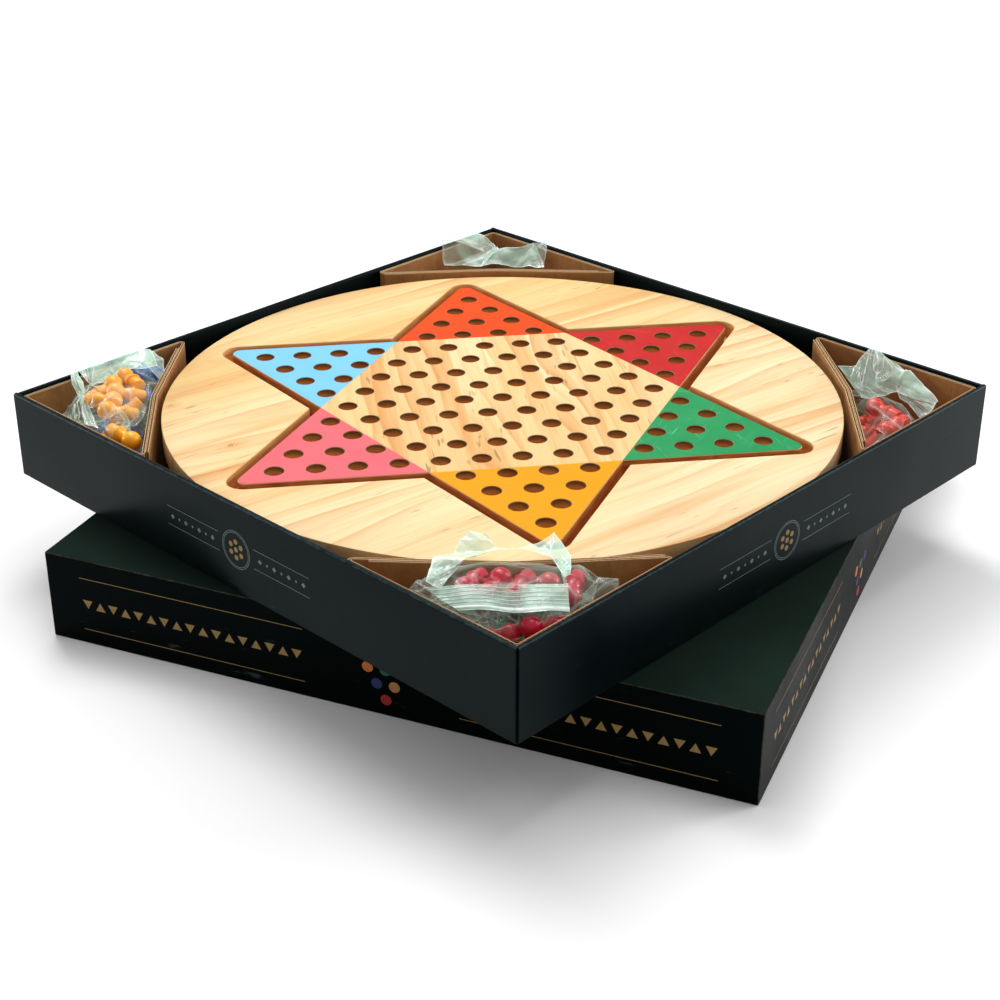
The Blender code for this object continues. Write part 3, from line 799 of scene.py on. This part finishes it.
def resample(path, spacing):
    """Evenly spaced points along a polyline, with the distance at each."""
    lengths = [0.0]
    for start, finish in zip(path, path[1:]):
        lengths.append(lengths[-1] + (finish - start).length)
    count = max(2, round(lengths[-1] / spacing))
    result = []
    for step in range(count + 1):
        target = lengths[-1] * step / count
        index = min(np.searchsorted(lengths, target, side="right") - 1, len(path) - 2)
        share = (target - lengths[index]) / max(lengths[index + 1] - lengths[index], 1e-9)
        result.append((path[index].lerp(path[index + 1], share), target))
    return result


def card_strip(path, offset, thickness, low, high, spacing):
    """One paper layer that follows a path: offset gives its place to the path's left."""
    samples = resample(path, spacing)
    shape = bmesh.new()
    rings = []
    for index, (point, distance) in enumerate(samples):
        ahead = samples[min(index + 1, len(samples) - 1)][0]
        behind = samples[max(index - 1, 0)][0]
        tangent = (ahead - behind).normalized()
        normal = Vector((-tangent.y, tangent.x))
        left, right = (point + normal * (offset(distance) + way * thickness / 2) for way in (1, -1))
        rings.append([shape.verts.new((*spot, height)) for spot, height in (
            (left, low), (left, high), (right, high), (right, low))])
    skin(shape, rings)
    return shape


def build_inserts():
    """Fluted card: two liners with a wave of paper between them."""
    kraft = kraft_material("insert_kraft", (188, 138, 86), (158, 110, 62), INSERT_HIGH)
    pale = kraft_material("flute_kraft", (206, 168, 120), (182, 140, 92))
    liner = 0.28 * MM
    pitch = 3.3 * MM
    reach = INSERT_CARD / 2 - liner / 2
    swing = reach - liner / 2 - 0.05 * MM
    layers = (
        ("outer", lambda distance: reach, liner, kraft, 1.2 * MM, 0.0),
        ("inner", lambda distance: -reach, liner, kraft, 1.2 * MM, 0.0),
        ("flutes", lambda distance: swing * sin(2 * pi * distance / pitch), 0.18 * MM, pale, pitch / 8,
         0.25 * MM),
    )
    path = insert_path(116 * MM, 0.5 * MM + INSERT_CARD / 2, 6 * MM)
    for quarter, name in enumerate(CORNERS):
        low, high = (corner[2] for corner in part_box("corner_insert_" + name))
        place = turned(quarter, (-TRAY_INNER, -TRAY_INNER, 0.0), TRAY_MIDDLE)
        for layer, offset, thickness, material, spacing, drop in layers:
            shape = card_strip(path, offset, thickness, low + drop, high - drop, spacing)
            add_mesh(f"insert_{name}_{layer}", shape, [material], "insert_" + name,
                     smooth=40, node="corner_insert_" + name, place=place)


def finish_supports():
    kraft = kraft_material("support_kraft", (180, 130, 78), (150, 102, 56))
    for name in ("support_strip_x", "support_strip_y"):
        repaint(name, kraft)


# --- pegs ----------------------------------------------------------------------------


def peg_pose(node):
    """Foot and direction of a CAD peg, from the spread of its vertices."""
    spots = np.array([tuple(vert.co) for vert in node.data.vertices])
    spots = np.unique(spots.round(7), axis=0)
    middle = spots.mean(axis=0)
    axis = np.linalg.eigh(np.cov((spots - middle).T))[1][:, 2]
    reach = (spots - middle) @ axis
    radial = np.linalg.norm(spots - middle - np.outer(reach, axis), axis=1)
    if radial[reach > reach.max() - 1 * MM].max() > radial[reach < reach.min() + 1 * MM].max():
        axis = -axis
        reach = -reach
    return Vector(middle + axis * reach.min()), Vector(axis)


PEG_LENGTH = 23 * MM


def peg_mesh():
    """A turned peg on +Z: shank, conical skirt, neck and ball head."""
    head, skirt, neck, shank = 5.6 * MM, 5.2 * MM, 3.3 * MM, 4.2 * MM
    shank_top = 7 * MM
    profile = [
        (0.0, 0.0), (shank - 0.8 * MM, 0.0), (shank - 0.2 * MM, 0.3 * MM), (shank, 0.9 * MM),
        (shank, shank_top - 0.05 * MM), (skirt - 0.3 * MM, shank_top), (skirt, shank_top + 0.3 * MM),
        (skirt, shank_top + 0.7 * MM), (skirt - 0.3 * MM, shank_top + 1.1 * MM)]
    head_centre = PEG_LENGTH - head
    start = -acos(neck / head)
    low = Vector(profile[-1])
    throat = Vector((neck, head_centre + head * sin(start)))
    for step in range(1, 6):
        spot = low.lerp(throat, step / 6)
        profile.append((spot.x - 0.35 * MM * sin(pi * step / 6), spot.y))
    for step in range(13):
        angle = start + (pi / 2 - start) * step / 12
        profile.append((max(head * cos(angle), 0.0), head_centre + head * sin(angle)))
    shape = bmesh.new()
    segments = 32
    rings = [add_loop(shape, circle((0.0, 0.0), radius, segments if radius > 1e-6 else 1), height)
             for radius, height in profile]
    for low, high in zip(rings, rings[1:]):
        for step in range(segments):
            after = (step + 1) % segments
            corners = [low[step % len(low)], low[after % len(low)], high[after % len(high)],
                       high[step % len(high)]]
            shape.faces.new(list(dict.fromkeys(corners)))
    return shape


PEG_COLOURS = {
    "amber": ((255, 178, 0), (250, 158, 0)),
    "blue": ((70, 106, 236), (46, 78, 214)),
    "pink": ((206, 8, 58), (178, 4, 44)),
    "green": ((0, 120, 76), (0, 92, 58)),
    "crimson": ((244, 38, 4), (220, 20, 0)),
    "orange": ((250, 72, 0), (232, 52, 0)),
}
# Pegs beyond the CAD's six: middle in the bag's axes in mm, turn, tilt and the lowest middle.
LOOSE_PEGS = {
    "blue": ((-51.8, 13.5, 25, -62, 20, 24), (-38.2, 13.8, 17, -100, 10, 15)),
    "amber": ((39, 1, 0, 45, 4, -7), (50, 14, 2, 50, -6, -7)),
    "pink": ((-8, -21, -8, 8, 0, -8), (13.2, -21.4, -8, -170, 4, -8)),
    "crimson": ((4, 1, 14, 40, 4, 0), (-17, 0, 14, 130, -4, 0)),
}
PEG_STATIONS = ((3.2, 4.6), (7.8, 5.4), (12.0, 4.3), (17.4, 5.6))   # ball middles and radii in mm


def peg_balls(foot, axis):
    return [(foot + axis * height * MM, radius * MM) for height, radius in PEG_STATIONS]


def rest_peg(colour, start, placed):
    """Lower a peg until it touches the others, or lift it until it is clear of them."""
    x, y, z, turn, tilt, floor = start
    place = bag_frame(colour)
    turn, tilt = radians(turn), radians(tilt)
    way = Vector((cos(turn) * cos(tilt), sin(turn) * cos(tilt), sin(tilt)))

    def pose(height):
        middle = Vector((x, y, height)) * MM
        return place @ (middle - way * PEG_LENGTH / 2), (place.to_3x3() @ way).normalized()

    def touches(height):
        return any((mine - other).length < near + far
                   for mine, near in peg_balls(*pose(height)) for other, far in placed)

    while touches(z):
        z += 0.25
    while z > floor and not touches(z - 0.25):
        z -= 0.25
    return pose(z)


def build_pegs():
    """A turned peg over each CAD one, then the loose ones. Gives each bag's pieces."""
    piles = {}
    for colour in BAGS:
        plastic = peg_material("peg_" + colour, *PEG_COLOURS[colour])
        nodes = [f"peg_{colour}_{index}" for index in range(1, 7)]
        poses = [peg_pose(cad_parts[node]) for node in nodes]
        placed = [ball for pose in poses for ball in peg_balls(*pose)]
        for start in LOOSE_PEGS.get(colour, ()):
            poses.append(rest_peg(colour, start, placed))
            placed += peg_balls(*poses[-1])
        piles[colour] = []
        for index, (foot, axis) in enumerate(poses):
            turn = axis.to_track_quat("Z", "Y").to_matrix().to_4x4()
            piles[colour].append(add_mesh(
                f"pawn_{colour}_{index + 1}", peg_mesh(), [plastic], "bag_" + colour,
                smooth=50, node=nodes[index] if index < len(nodes) else None,
                place=Matrix.Translation(foot) @ turn))
    return piles


# --- bags ----------------------------------------------------------------------------

SIM_SCALE = 10.0                 # the cloth solver's shortest distances suit a bigger bag
SIM_FRAMES = 24
SIM_DISTANCE = 0.004
AROUND = 96
BAG_HALF = (46.8 * MM, 21.3 * MM, 13.6 * MM)
BAG_TAPER = 0.28
BAG_SETBACK = 52.2 * MM          # from the insert's corner to the bag's middle
BAG_FAR = 24.8 * MM              # from the bag's middle to the insert's long side
POUCH_ROWS = 30
LIP_ROWS = 12
BAND_ROW = 26
# Rows of ribs, the zip band's half width and half thickness in mm, the lips' length and side.
BAG_STYLES = {
    "blue": ((), None, 14 * MM, 1),
    "amber": ((22, 24), (0.9, 0.3), 12 * MM, -1),
    "green": ((21, 22, 23, 24), (1.1, 0.35), 14 * MM, 1),
    "pink": ((), None, 14 * MM, -1),
    "crimson": ((22, 24), (0.6, 0.25), 14 * MM, -1),
    "orange": ((22, 24), (0.6, 0.25), 14 * MM, -1),
}
# The empty film that stands up from a bag: corners in its own axes in mm, then panels.
SHEETS = {
    "blue": ((
        (-60, 6, 36), (-60, 15, 35), (-52, 22, 33), (-40, 24, 22), (-46, 8, 37)), (
        (0, 1, 4), (1, 2, 4), (2, 3, 4))),
    "crimson": ((
        (29, 24.5, 35), (39, 11.5, 31), (43.5, 3, 40), (43, -3, 39), (26.5, -14.5, 33), (25.5, -18, 33.5),
        (6.5, -31.5, 22), (2.5, -27.5, 18), (0.5, -20, 14), (24.5, 18.5, 29), (21, 11, 26), (21, 2.5, 26),
        (24.5, -10.5, 32), (15.5, -9, 24), (14, -2, 22), (12.5, 12.5, 22)), (
        (0, 1, 9), (1, 10, 9), (1, 2, 10), (2, 11, 10), (2, 3, 11), (3, 12, 11), (3, 4, 12), (4, 5, 12),
        (9, 10, 15), (10, 11, 14), (10, 14, 15), (11, 13, 14), (11, 12, 13), (12, 5, 13), (5, 6, 13),
        (6, 7, 13), (7, 8, 13), (0, 9, 15))),
    "orange": ((
        (36, -12, 42), (14.5, -31, 40), (7, -31, 38), (-4, -19, 32), (7, -18, 31), (34.5, -9.5, 24),
        (10, -7, 24), (-27, -20, 36), (-35, -13.5, 40), (-34, -4.5, 24), (-29.5, -19, 34), (-14, -10, 22),
        (4, -17, 31)), (
        (0, 1, 4), (1, 2, 4), (2, 3, 4), (0, 4, 5), (4, 6, 5), (4, 3, 6), (12, 7, 11), (12, 11, 6),
        (7, 10, 11), (10, 9, 11), (10, 8, 9), (7, 8, 10))),
    "amber": ((
        (-21.7, -27.5, 11.5), (-25, -24, 9.5), (29, -4, -2), (24.5, -12.5, -1), (-23, -26, 13),
        (-30, -19.5, 12.6), (-38, -11, 18), (-49, 8, 15), (-49, 15, 13), (-40, 20, 6), (-12, -14, 6),
        (-20, -2, 9), (-30, 8, 9)), (
        (0, 1, 2), (0, 2, 3), (4, 5, 10), (5, 6, 10), (6, 11, 10), (6, 7, 11), (7, 12, 11), (7, 8, 12),
        (8, 9, 12))),
    "pink": ((
        (-41.5, 9.5, 4), (-38, 25.5, 8), (-28, 29, 8), (-20, 41, 14), (-12, 39, 13), (-8, 33, 9),
        (15.5, 34, 12), (20.5, 36.5, 15), (28, 20.5, 10), (27, 4.5, 6), (23.5, -15, 2), (18.5, 17, 12),
        (-22.5, 22, 9), (-34.5, 7, 1), (2, 26, 12)), (
        (0, 1, 12), (1, 2, 12), (2, 5, 12), (2, 3, 5), (3, 4, 5), (0, 12, 13), (6, 7, 11), (7, 8, 11),
        (8, 9, 11), (9, 10, 11), (5, 14, 12), (6, 11, 14))),
}
# A zip that lies open to view: its panel's corners in the bag's axes in mm, shares of its
# ribs down the panel, and of its band.
FLAT_ZIPS = {
    "pink": (((-42, -4, 9), (25, -5, 11), (25, -23, 6), (-26, -20, 5)), (0.12, 0.27, 0.42, 0.56, 0.70), 0.88),
    "blue": (((-29, -19, 10), (29, -19, 10), (12, -35, 14), (-12, -35, 14)), (0.2, 0.35, 0.5, 0.65), 0.85),
}


def bag_frame(colour):
    """The bag's own axes: X across its corner, Y away from the corner, Z up."""
    low, high = (Vector(corner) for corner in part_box("bag_" + colour))
    outward = ((low + high) / 2).xy - TRAY_CENTRE.xy
    quarter = round((atan2(outward.y, outward.x) + 3 * pi / 4) / (pi / 2))
    angle = pi / 2 * quarter - pi / 4
    corner = TRAY_CENTRE.xy + Vector((copysign(TRAY_INNER, outward.x), copysign(TRAY_INNER, outward.y)))
    spot = corner + Vector((-sin(angle), cos(angle))) * BAG_SETBACK
    return turned(0, centre=(spot.x, spot.y, low.z + BAG_HALF[2]), turn=angle)


def signed_power(value, power):
    return copysign(abs(value) ** power, value)


def film_tube(colour, seed):
    """A zip bag as a tube: sealed end, pouch, zip, then the two lips beyond it."""
    half_x, half_y, half_z = BAG_HALF
    lip, lip_side = BAG_STYLES[colour][2:]
    power = 2 / 2.6
    rows = []
    for row in range(POUCH_ROWS + 1):
        angle = pi * row / POUCH_ROWS
        y = half_y * signed_power(cos(angle), power)
        reach = max(signed_power(sin(angle), power), 0.0)
        width = half_x * (1 + BAG_TAPER * y / half_y) * max(reach, 0.62)
        rows.append((Vector((0.0, y, 0.0)), width, max(half_z * reach, 0.5 * MM), Vector((0, 0, 1))))
    for row in range(1, LIP_ROWS + 1):
        along = lip * row / LIP_ROWS
        bend = min(along / (7 * MM), 1.0) * pi / 2
        centre = Vector((0.0, -half_y - 2.6 * MM * sin(bend), lip_side * (along - 2.5 * MM * sin(bend))))
        normal = Vector((0.0, lip_side * sin(bend), cos(bend)))
        rows.append((centre, half_x * 0.70 * (1 - 0.12 * along / lip), 0.5 * MM, normal))
    crown = 1.9 if CORNER_OF[colour] in ("right", "back") else 1.0
    shape = bmesh.new()
    rings = []
    for centre, width, depth, normal in rows:
        ring = []
        for step in range(AROUND):
            turn = 2 * pi * step / AROUND
            lift = depth * signed_power(sin(turn), power)
            if lift > 0.0:
                lift *= crown
            spot = centre + Vector((width * signed_power(cos(turn), power), 0.0, 0.0)) + normal * lift
            spot += noise.noise_vector(spot * 110 + Vector((seed, 0, 0))) * 0.5 * MM
            ring.append(shape.verts.new(spot))
        rings.append(ring)
    skin(shape, rings, ())
    return shape


def edges_of(triangle):
    return [tuple(sorted((triangle[step], triangle[(step + 1) % 3]))) for step in range(3)]


def crumple(points, triangles, rounds, amount, chance):
    """Fold a sheet of triangles: each edge breaks at its middle, which steps off the sheet."""
    points = [Vector(point) for point in points]
    for _ in range(rounds):
        middles = {}
        finer = []
        for triangle in triangles:
            for edge in edges_of(triangle):
                if edge not in middles:
                    start, finish = points[edge[0]], points[edge[1]]
                    away = Vector([chance.gauss(0.0, 1.0) for _ in range(3)]) * (finish - start).length
                    middles[edge] = len(points)
                    points.append((start + finish) / 2 + away * amount)
            one, two, three = triangle
            near, far, last = (middles[edge] for edge in edges_of(triangle))
            finer += [(one, near, last), (two, far, near), (three, last, far), (near, far, last)]
        triangles = finer
    return points, triangles


def facet(points, triangles, cuts, chance):
    """A fine mesh of flat panels that keeps each fold's strength in the attribute fold."""
    shape = bmesh.new()
    layer = shape.verts.layers.float.new("fold")
    planes = [(points[b] - points[a]).cross(points[c] - points[a]).normalized() for a, b, c in triangles]
    users = {}
    for index, triangle in enumerate(triangles):
        for edge in edges_of(triangle):
            users.setdefault(edge, []).append(index)
    strength = {}
    for edge, faces in users.items():
        bend = 0.9
        if len(faces) > 1:
            bend = planes[faces[0]].angle(planes[faces[1]], 0.0)
            bend = min(bend, pi - bend)
        strength[edge] = min(max(bend - 0.22, 0.0) / 0.6, 1.0)
        for corner in edge:
            strength[corner] = max(strength.get(corner, 0.0), strength[edge])
    made = {}
    for index, (a, b, c) in enumerate(triangles):
        puff = chance.uniform(-0.05, 0.05) * (points[b] - points[a]).length
        grid = {}
        for i in range(cuts + 1):
            for j in range(cuts + 1 - i):
                k = cuts - i - j
                parts = [(corner, count) for corner, count in ((a, i), (b, j), (c, k)) if count]
                key = tuple(sorted(parts)) if len(parts) < 3 else (index, i, j)
                if key not in made:
                    on = tuple(sorted(corner for corner, _ in parts))
                    spot = (points[a] * i + points[b] * j + points[c] * k) / cuts
                    spot = spot + planes[index] * puff * 27 * i * j * k / cuts ** 3
                    made[key] = shape.verts.new(spot + noise.noise_vector(spot * 260) * 0.22 * MM)
                    made[key][layer] = strength.get(on[0] if len(on) == 1 else on, 0.0)
                grid[i, j] = made[key]
        for i in range(cuts):
            for j in range(cuts - i):
                shape.faces.new((grid[i, j], grid[i + 1, j], grid[i, j + 1]))
                if i + j < cuts - 1:
                    shape.faces.new((grid[i + 1, j], grid[i + 1, j + 1], grid[i, j + 1]))
    return shape


def add_collider(source, group):
    """A copy of a piece, at the simulation's scale, that a bag's film can't pass."""
    mesh = source.data.copy()
    mesh.transform(Matrix.Scale(SIM_SCALE, 4))
    collider = bpy.data.objects.new("sim_" + source.name, mesh)
    group.objects.link(collider)
    collider.modifiers.new("Collision", "COLLISION")
    assign(collider.collision, thickness_outer=SIM_DISTANCE, cloth_friction=3.0, use_culling=False)
    return mesh


def simulate_films(films, piles):
    """Crumple every bag's film round its pegs, all in one run, then apply the result."""
    solids = []
    for colour, film in films.items():
        group = bpy.data.collections.new("sim_" + colour)
        SCENE.collection.children.link(group)
        corner = CORNER_OF[colour]
        around = ["corner_insert_" + corner]
        around += ["bag_" + other for other in BAGS if other != colour and CORNER_OF[other] == corner]
        for solid in piles[colour] + [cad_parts[name] for name in around]:
            solids.append(add_collider(solid, group))
        film.data.transform(Matrix.Scale(SIM_SCALE, 4))
        cloth = film.modifiers.new("Cloth", "CLOTH")
        assign(cloth.settings, quality=5, mass=0.06, tension_stiffness=12, compression_stiffness=12,
               shear_stiffness=6, bending_stiffness=0.25, air_damping=2.0, shrink_min=-0.08,
               shrink_max=-0.08, use_pressure=True, uniform_pressure_force=-0.25)
        cloth.settings.effector_weights.gravity = 0.35
        assign(cloth.collision_settings, use_collision=True, collision_quality=2,
               distance_min=SIM_DISTANCE, use_self_collision=False, collection=group)
        assign(cloth.point_cache, frame_start=1, frame_end=SIM_FRAMES)
    for step in range(1, SIM_FRAMES + 1):
        SCENE.frame_set(step)
    graph = bpy.context.evaluated_depsgraph_get()
    results = [np.array([tuple(vert.co) for vert in film.evaluated_get(graph).data.vertices])
               for film in films.values()]
    for film, spots in zip(films.values(), results):
        film.modifiers.clear()
        film.data.vertices.foreach_set("co", (spots / SIM_SCALE).ravel())
        film.data.update()
    for mesh in solids:
        bpy.data.meshes.remove(mesh)
    SCENE.frame_set(1)


def add_rib(shape, line, half_wide, half_thick, lift=0.0):
    """A flattened rod along (spot, sideways, normal) stations, lifted along the normals."""
    rings = []
    for spot, sideways, normal in line:
        rings.append([shape.verts.new(spot + normal * (lift + half_thick * sin(pi * k / 4))
                                      + sideways * half_wide * cos(pi * k / 4)) for k in range(8)])
    skin(shape, rings)


def add_zip(colour, film, plastic):
    """The zip's thin ribs and its pressed band, laid on the film's own rows."""
    spots = [vert.co.copy() for vert in film.data.vertices]
    normals = [vert.normal.copy() for vert in film.data.vertices]
    rows, (wide, thick) = BAG_STYLES[colour][:2]
    shape = bmesh.new()
    for row, half_wide, half_thick in [(row, 0.2, 0.2) for row in rows] + [(BAND_ROW, wide, thick)]:
        line = []
        for index in range(row * AROUND + 3, row * AROUND + AROUND // 2 - 2):
            line.append((spots[index], (spots[index + AROUND] - spots[index]).normalized(), normals[index]))
        add_rib(shape, line, half_wide * MM, half_thick * MM, 0.2 * MM)
    add_mesh("zip_" + colour, shape, [plastic], "bag_" + colour, smooth=60)


def add_flat_zip(colour, sheet, plastic):
    """A zip on a panel of film of its own, bowed and a little wavy."""
    corners, ribs, band = FLAT_ZIPS[colour]
    place = bag_frame(colour)
    corners = [Vector(corner) * MM for corner in corners]

    def spot(across, down):
        top = corners[0].lerp(corners[1], across)
        low = corners[3].lerp(corners[2], across)
        flat = top.lerp(low, down)
        wave = noise.noise(flat * 60) * 1.4 * MM
        bow = 2.2 * MM * sin(pi * across)
        return place @ (flat + Vector((0.0, -bow, wave + 0.6 * bow)))

    panel = bmesh.new()
    panel.verts.layers.float.new("fold")
    wide, deep = 36, 12
    grid = [[panel.verts.new(spot(i / wide, j / deep)) for i in range(wide + 1)] for j in range(deep + 1)]
    for near, far in zip(grid, grid[1:]):
        for i in range(wide):
            panel.faces.new((near[i], near[i + 1], far[i + 1], far[i]))
    add_mesh("zip_panel_" + colour, panel, [sheet], "bag_" + colour, smooth=60)

    shape = bmesh.new()
    for share, half_wide, half_thick in [(share, 0.30, 0.30) for share in ribs] + [(band, 1.3, 0.40)]:
        line = []
        for i in range(49):
            middle = spot(i / 48, share)
            along = (spot((i + 1) / 48, share) - middle).normalized()
            down = (spot(i / 48, share + 0.05) - middle).normalized()
            line.append((middle, down, along.cross(down).normalized()))
        add_rib(shape, line, half_wide * MM, half_thick * MM)
    add_mesh("zip_" + colour, shape, [plastic], "bag_" + colour, smooth=60)


def crease_film(film, seed):
    """Break a smooth film into the flat panels and sharp folds of thin plastic."""
    mesh = film.data
    spots = [vert.co + vert.normal * (0.9 + 2.6 * abs(noise.noise(vert.co * 85 + Vector((seed, 0, 0))))) * MM
             for vert in mesh.vertices]
    for vert, spot in zip(mesh.vertices, spots):
        vert.co = spot
    assign(film.modifiers.new("Decimate", "DECIMATE"), ratio=0.09, use_collapse_triangulate=True)
    coarse = film.evaluated_get(bpy.context.evaluated_depsgraph_get()).data
    points = [vert.co.copy() for vert in coarse.vertices]
    triangles = [tuple(face.vertices) for face in coarse.polygons if len(face.vertices) == 3]
    film.modifiers.clear()
    chance = random.Random(seed)
    shape = facet(*crumple(points, triangles, 1, 0.03, chance), 2, chance)
    shape.to_mesh(mesh)
    shape.free()
    mesh.shade_smooth()
    mesh.set_sharp_from_angle(angle=radians(32))


def pressed(value, least, reach):
    """A distance that eases towards its least value over the last part of the way."""
    if value > least + reach:
        return value
    return least + reach * exp((value - least - reach) / reach)


def tuck_in(piece, colour):
    """Press film back from its insert's card walls and off the floor beneath it."""
    place = bag_frame(colour)
    back = place.inverted()
    floor = -BAG_HALF[2] - 0.5 * MM
    for vert in piece.data.vertices:
        spot = back @ vert.co
        gap = (spot.y + BAG_SETBACK - abs(spot.x)) / sqrt(2)
        push = (pressed(gap, 2.7 * MM, 2.6 * MM) - gap) / sqrt(2)
        push *= min(max((TRAY_HIGH.z + 1 * MM - vert.co.z) / MM, 0.0), 1.0)
        spot.x -= copysign(push, spot.x)
        spot.y += push
        if vert.co.z < INSERT_HIGH:
            spot.y = BAG_FAR - pressed(BAG_FAR - spot.y, 0.0, 2.0 * MM)
        spot.z = floor + pressed(spot.z - floor, 0.0, 2.4 * MM)
        vert.co = place @ spot


def finish_bags(piles):
    """Film pouches round the pegs, their zips, and the empty film that stands up."""
    pouch = film_material("bag_film", 0.02, 0.12, 0.20)
    sheet = film_material("bag_sheet", 0.28, 0.42, 0.34)
    plastic = rib_material("bag_zip")
    films = {}
    for seed, colour in enumerate(BAGS):
        films[colour] = add_mesh(
            "film_" + colour, film_tube(colour, seed * 3.7), [pouch], "bag_" + colour,
            smooth=180, node="bag_" + colour, place=bag_frame(colour))
    simulate_films(films, piles)
    for seed, (colour, film) in enumerate(films.items()):
        if colour in FLAT_ZIPS:
            add_flat_zip(colour, sheet, plastic)
        else:
            add_zip(colour, film, plastic)
        crease_film(film, seed + 11)
        tuck_in(film, colour)
    for seed, (colour, (corners, panels)) in enumerate(SHEETS.items()):
        chance = random.Random(seed + 41)
        place = bag_frame(colour)
        points = [place @ (Vector(corner) * MM) for corner in corners]
        shape = facet(*crumple(points, panels, 2, 0.045, chance), 3, chance)
        tuck_in(add_mesh("sheet_" + colour, shape, [sheet], "bag_" + colour, smooth=32), colour)


# --- stage ---------------------------------------------------------------------------


def build_floor():
    shape = bmesh.new()
    bmesh.ops.create_grid(shape, x_segments=1, y_segments=1, size=8.0)
    mesh = bpy.data.meshes.new("floor")
    shape.to_mesh(mesh)
    shape.free()
    floor = add_object("floor", mesh)
    floor.location.z = LID_LOW.z - 0.2 * MM
    pale = Nodes("floor_white")
    pale.set(Base_Color=(0.93, 0.93, 0.93, 1.0), Roughness=0.9)
    mesh.materials.append(pale.material)


# Each lamp's name, place, side and power.
LAMPS = (
    ("key", (-1.1, 0.5, 2.0), 1.1, 32.0),
    ("fill", (1.3, 1.5, 1.5), 1.2, 13.0),
    ("top", (0.0, 0.3, 2.4), 1.2, 14.0),
    ("left", (-2.0, -1.25, 0.4), 0.6, 20.0),
    ("right", (1.15, 2.1, 0.4), 0.6, 22.0),
)


def add_lights():
    """Soft square lamps aimed at the board, in a pale world."""
    world = bpy.data.worlds.new("studio")
    world.use_nodes = True
    background = world.node_tree.nodes["Background"].inputs
    background["Color"].default_value = (1.0, 1.0, 1.0, 1.0)
    background["Strength"].default_value = 0.42
    SCENE.world = world
    target = Vector((DISC_CENTRE.x, DISC_CENTRE.y, 0.06))
    for name, place, size, power in LAMPS:
        light = bpy.data.lights.new(name, "AREA")
        assign(light, shape="SQUARE", size=size, energy=power)
        lamp = add_object(name, light)
        lamp.location = place
        lamp.rotation_euler = (target - Vector(place)).to_track_quat("-Z", "Y").to_euler()


def add_camera():
    """The photo's own viewpoint."""
    camera = add_object("camera", bpy.data.cameras.new("camera"))
    assign(camera.data, lens=66.82, sensor_width=36.0)
    right = Vector((0.72286, 0.69099, 0.00055))
    forward = Vector((-0.61216, 0.64077, -0.46332)).normalized()
    up = right.cross(forward).normalized()
    basis = Matrix((forward.cross(up), up, -forward)).transposed()
    camera.matrix_world = Matrix.Translation((0.66718, -0.72222, 0.54213)) @ basis.to_4x4()
    SCENE.camera = camera
    SCENE.view_settings.view_transform = "Standard"


HEXAGON, POINTS = peg_holes()
build_disc()
build_star(HEXAGON, POINTS)
build_coats(POINTS)
build_tray()
finish_lid()
build_prints()
build_inserts()
finish_supports()
finish_bags(build_pegs())
build_floor()
add_lights()
add_camera()
